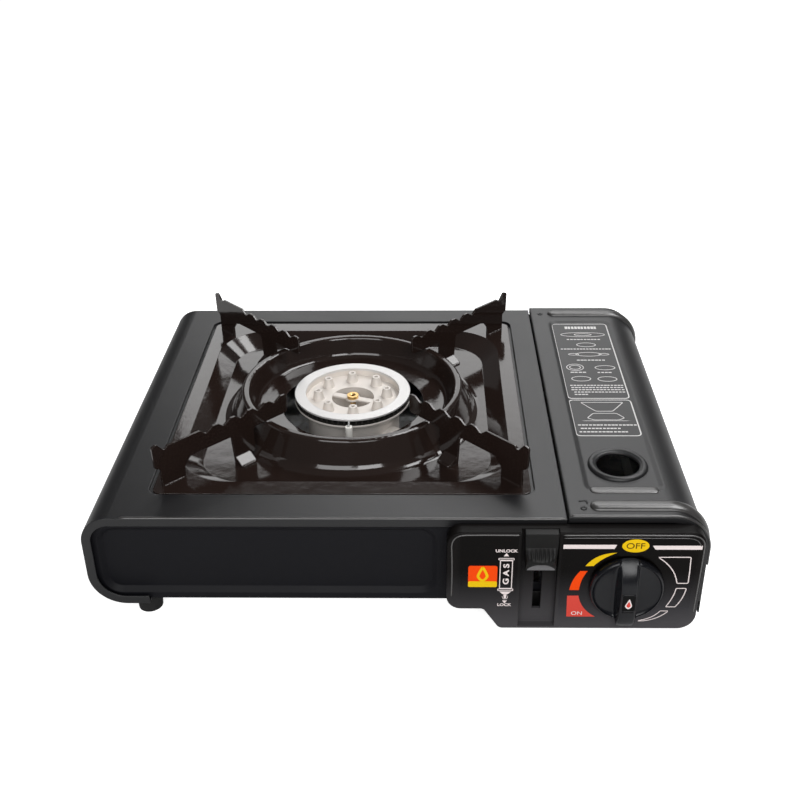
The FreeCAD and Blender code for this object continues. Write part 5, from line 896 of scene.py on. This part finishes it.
# Painted shade: a dark plastic plate behind the slot's lower end, put there to darken the slot.
shade_plate_half, shade_plate_low, shade_plate_high, shade_plate_depth = 0.0048, 0.0075, 0.0200, 0.0110
shade_plate_outline = rectangle(-shade_plate_half, shade_plate_low, shade_plate_half, shade_plate_high)
shade_plate = plate(shade_plate_outline, 0.0010, lambda flat, depth: np.stack(
    [block_x + flat[:, 0], panel_face + shade_plate_depth + depth + flat[:, 0] * 0.0, flat[:, 1]], axis=-1))
panel_piece("slot_painted_shade_plate", shade_plate, plastic)


# The knob: moulded in a satin blue-black plastic as a low drum with a hollow on each side of a domed
# grip bar, pushed on the brass spindle. Its grip shows a small printed drop.
knob_plastic = Finish("knob_plastic", Base_Color=(0.005, 0.0055, 0.0075, 1.0), Specular_IOR_Level=0.35)
knob_grain = knob_plastic.noise(knob_plastic.place(), 1800.0, 3.0)
knob_plastic.give(Roughness=0.20 + knob_grain * 0.10, Normal=knob_plastic.relief(knob_grain, 0.00002))

knob_low, knob_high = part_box("control_knob")
knob_radius = 0.0204
knob_x = (knob_low.x + knob_high.x) / 2.0
knob_z = knob_high.z - knob_radius
knob_back = knob_high.y
grip_reach = 0.0060
knob_face = knob_low.y + grip_reach
grip_half = 0.0051
tail = knob_z - knob_low.z
rim_round, rim_drop = 0.0022, 0.0030
hollow_radius, hollow_depth = 0.0188, 0.0033
tail_flat, tail_round = 0.0025, 0.0022
fall_start, fall_reach = 0.0090, 0.0140
grip_crown = 0.0003
fine_reach = 0.0080
dome_start = 0.0010
dome_radius = ((knob_radius - dome_start) ** 2 + (grip_reach + knob_back - knob_face) ** 2) / (
    2.0 * (grip_reach + knob_back - knob_face))

knob_columns = np.union1d(knob_radius * np.sin(np.linspace(-np.pi / 2, np.pi / 2, 141)),
                          np.linspace(-fine_reach, fine_reach, 97))
knob_share = np.sin(np.linspace(-np.pi / 2, np.pi / 2, 161))
disc_reach = np.sqrt(np.maximum(knob_radius ** 2 - knob_columns ** 2, 0.0))
tail_corner = np.clip((np.abs(knob_columns) - tail_flat) / (grip_half - tail_flat), 0.0, 1.0)
tail_reach = np.where(np.abs(knob_columns) <= grip_half,
                      tail - tail_round * (1.0 - np.sqrt(1.0 - tail_corner ** 2)), 0.0)
lower_reach = np.maximum(disc_reach, tail_reach)
across, share = np.meshgrid(knob_columns, knob_share, indexing="ij")
rise = np.where(share > 0.0, share * disc_reach[:, None], share * lower_reach[:, None])
radius = np.hypot(across, rise)
rim = np.clip(1.0 - (knob_radius - radius) / rim_round, 0.0, 1.0)
drum_height = -rim_drop * (1.0 - np.sqrt(1.0 - rim ** 2))
hollow = hollow_depth * np.sqrt(np.clip(1.0 - (radius / hollow_radius) ** 3, 0.0, 1.0))
upper = np.sqrt(dome_radius ** 2 - np.clip(rise - dome_start, 0.0, None) ** 2) - dome_radius
lower = np.clip((-rise - fall_start) / fall_reach, 0.0, 1.0)
grip_height = grip_reach * (1.0 - lower ** 2) ** 0.6 + upper
grip_height = grip_height - grip_crown * np.minimum(np.abs(across) / grip_half, 1.0) ** 2
grip_share = 1.0 / (1.0 + (np.abs(across) / grip_half) ** 16)
height = (drum_height - hollow) * (1.0 - grip_share) + grip_height * grip_share
knob_points = np.stack([knob_x + across, knob_face - height, knob_z + rise], axis=-1)
columns, rows = knob_points.shape[:2]
start_points = np.arange(columns) * rows
rim_loop = np.concatenate([start_points, (start_points + rows - 1)[::-1][1:-1]])
flat_points = knob_points.reshape(-1, 3)
back_loop = flat_points[rim_loop].copy()
back_loop[:, 1] = knob_back
here = np.arange(len(rim_loop))
beside = np.roll(here, -1)
skirt = np.stack([rim_loop, rim_loop[beside], len(flat_points) + beside, len(flat_points) + here], axis=-1)
back_middle = np.full(len(rim_loop), len(flat_points) + len(rim_loop))
fan = np.stack([len(flat_points) + here, len(flat_points) + beside, back_middle], axis=-1)
back_centre = np.array([[knob_x, knob_back, knob_z]])
knob = make_piece("knob", np.concatenate([flat_points, back_loop, back_centre]),
                  grid_faces(columns, rows) + skirt.tolist() + fan.tolist(), knob_plastic, "knob",
                  "knob_plastic", 50.0)
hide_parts("control_knob")


def on_grip(flat, height):
    """Millimetres across and up from the knob's centre, at a height above the grip's face."""
    flat = np.asarray(flat, float)
    return np.stack([knob_x + flat[:, 0] / 1000.0, knob_low.y - height + flat[:, 0] * 0.0,
                     knob_z + flat[:, 1] / 1000.0], axis=-1)


def knob_piece(name, shape, finish):
    """A small piece that turns with the knob."""
    make_piece(name, *shape, finish, "knob", "knob_plastic")


icon_ink = ink("icon_ink", (0.002, 0.002, 0.002, 1.0))
icon_field = softened(rectangle(-3.7, 2.6, 3.7, -8.6), 1.3)
knob_piece("knob_icon_field", plate(icon_field, 0.00005, on_grip), icon_ink)
knob_piece("knob_icon_frame", bead(on_grip(icon_field, 0.0), outward, 0.00028, 0.00022, True), knob_plastic)
grip_drop = np.concatenate([bent((0.3, 0.2), (1.3, -2.6), (1.9, -4.6)),
                            bent((1.9, -4.9), (0.0, -6.7), (-1.9, -4.9)),
                            bent((-1.9, -4.6), (-0.9, -2.2), (0.3, 0.2))])
drop_centre, drop_share = np.array([0.0, -4.1]), 0.60
inner_drop = (grip_drop - drop_centre) * drop_share + drop_centre
knob_piece("knob_drop_edge", plate(grip_drop, 0.00010, on_grip), pale_ink)
knob_piece("knob_drop", plate(inner_drop, 0.00016, on_grip), red_ink)
icon_line = np.stack([np.linspace(-3.4, 3.4, 10), np.full(10, -9.4)], axis=-1)
knob_piece("knob_icon_line", bead(on_grip(icon_line, 0.0), outward, 0.00025, 0.00030), plastic)
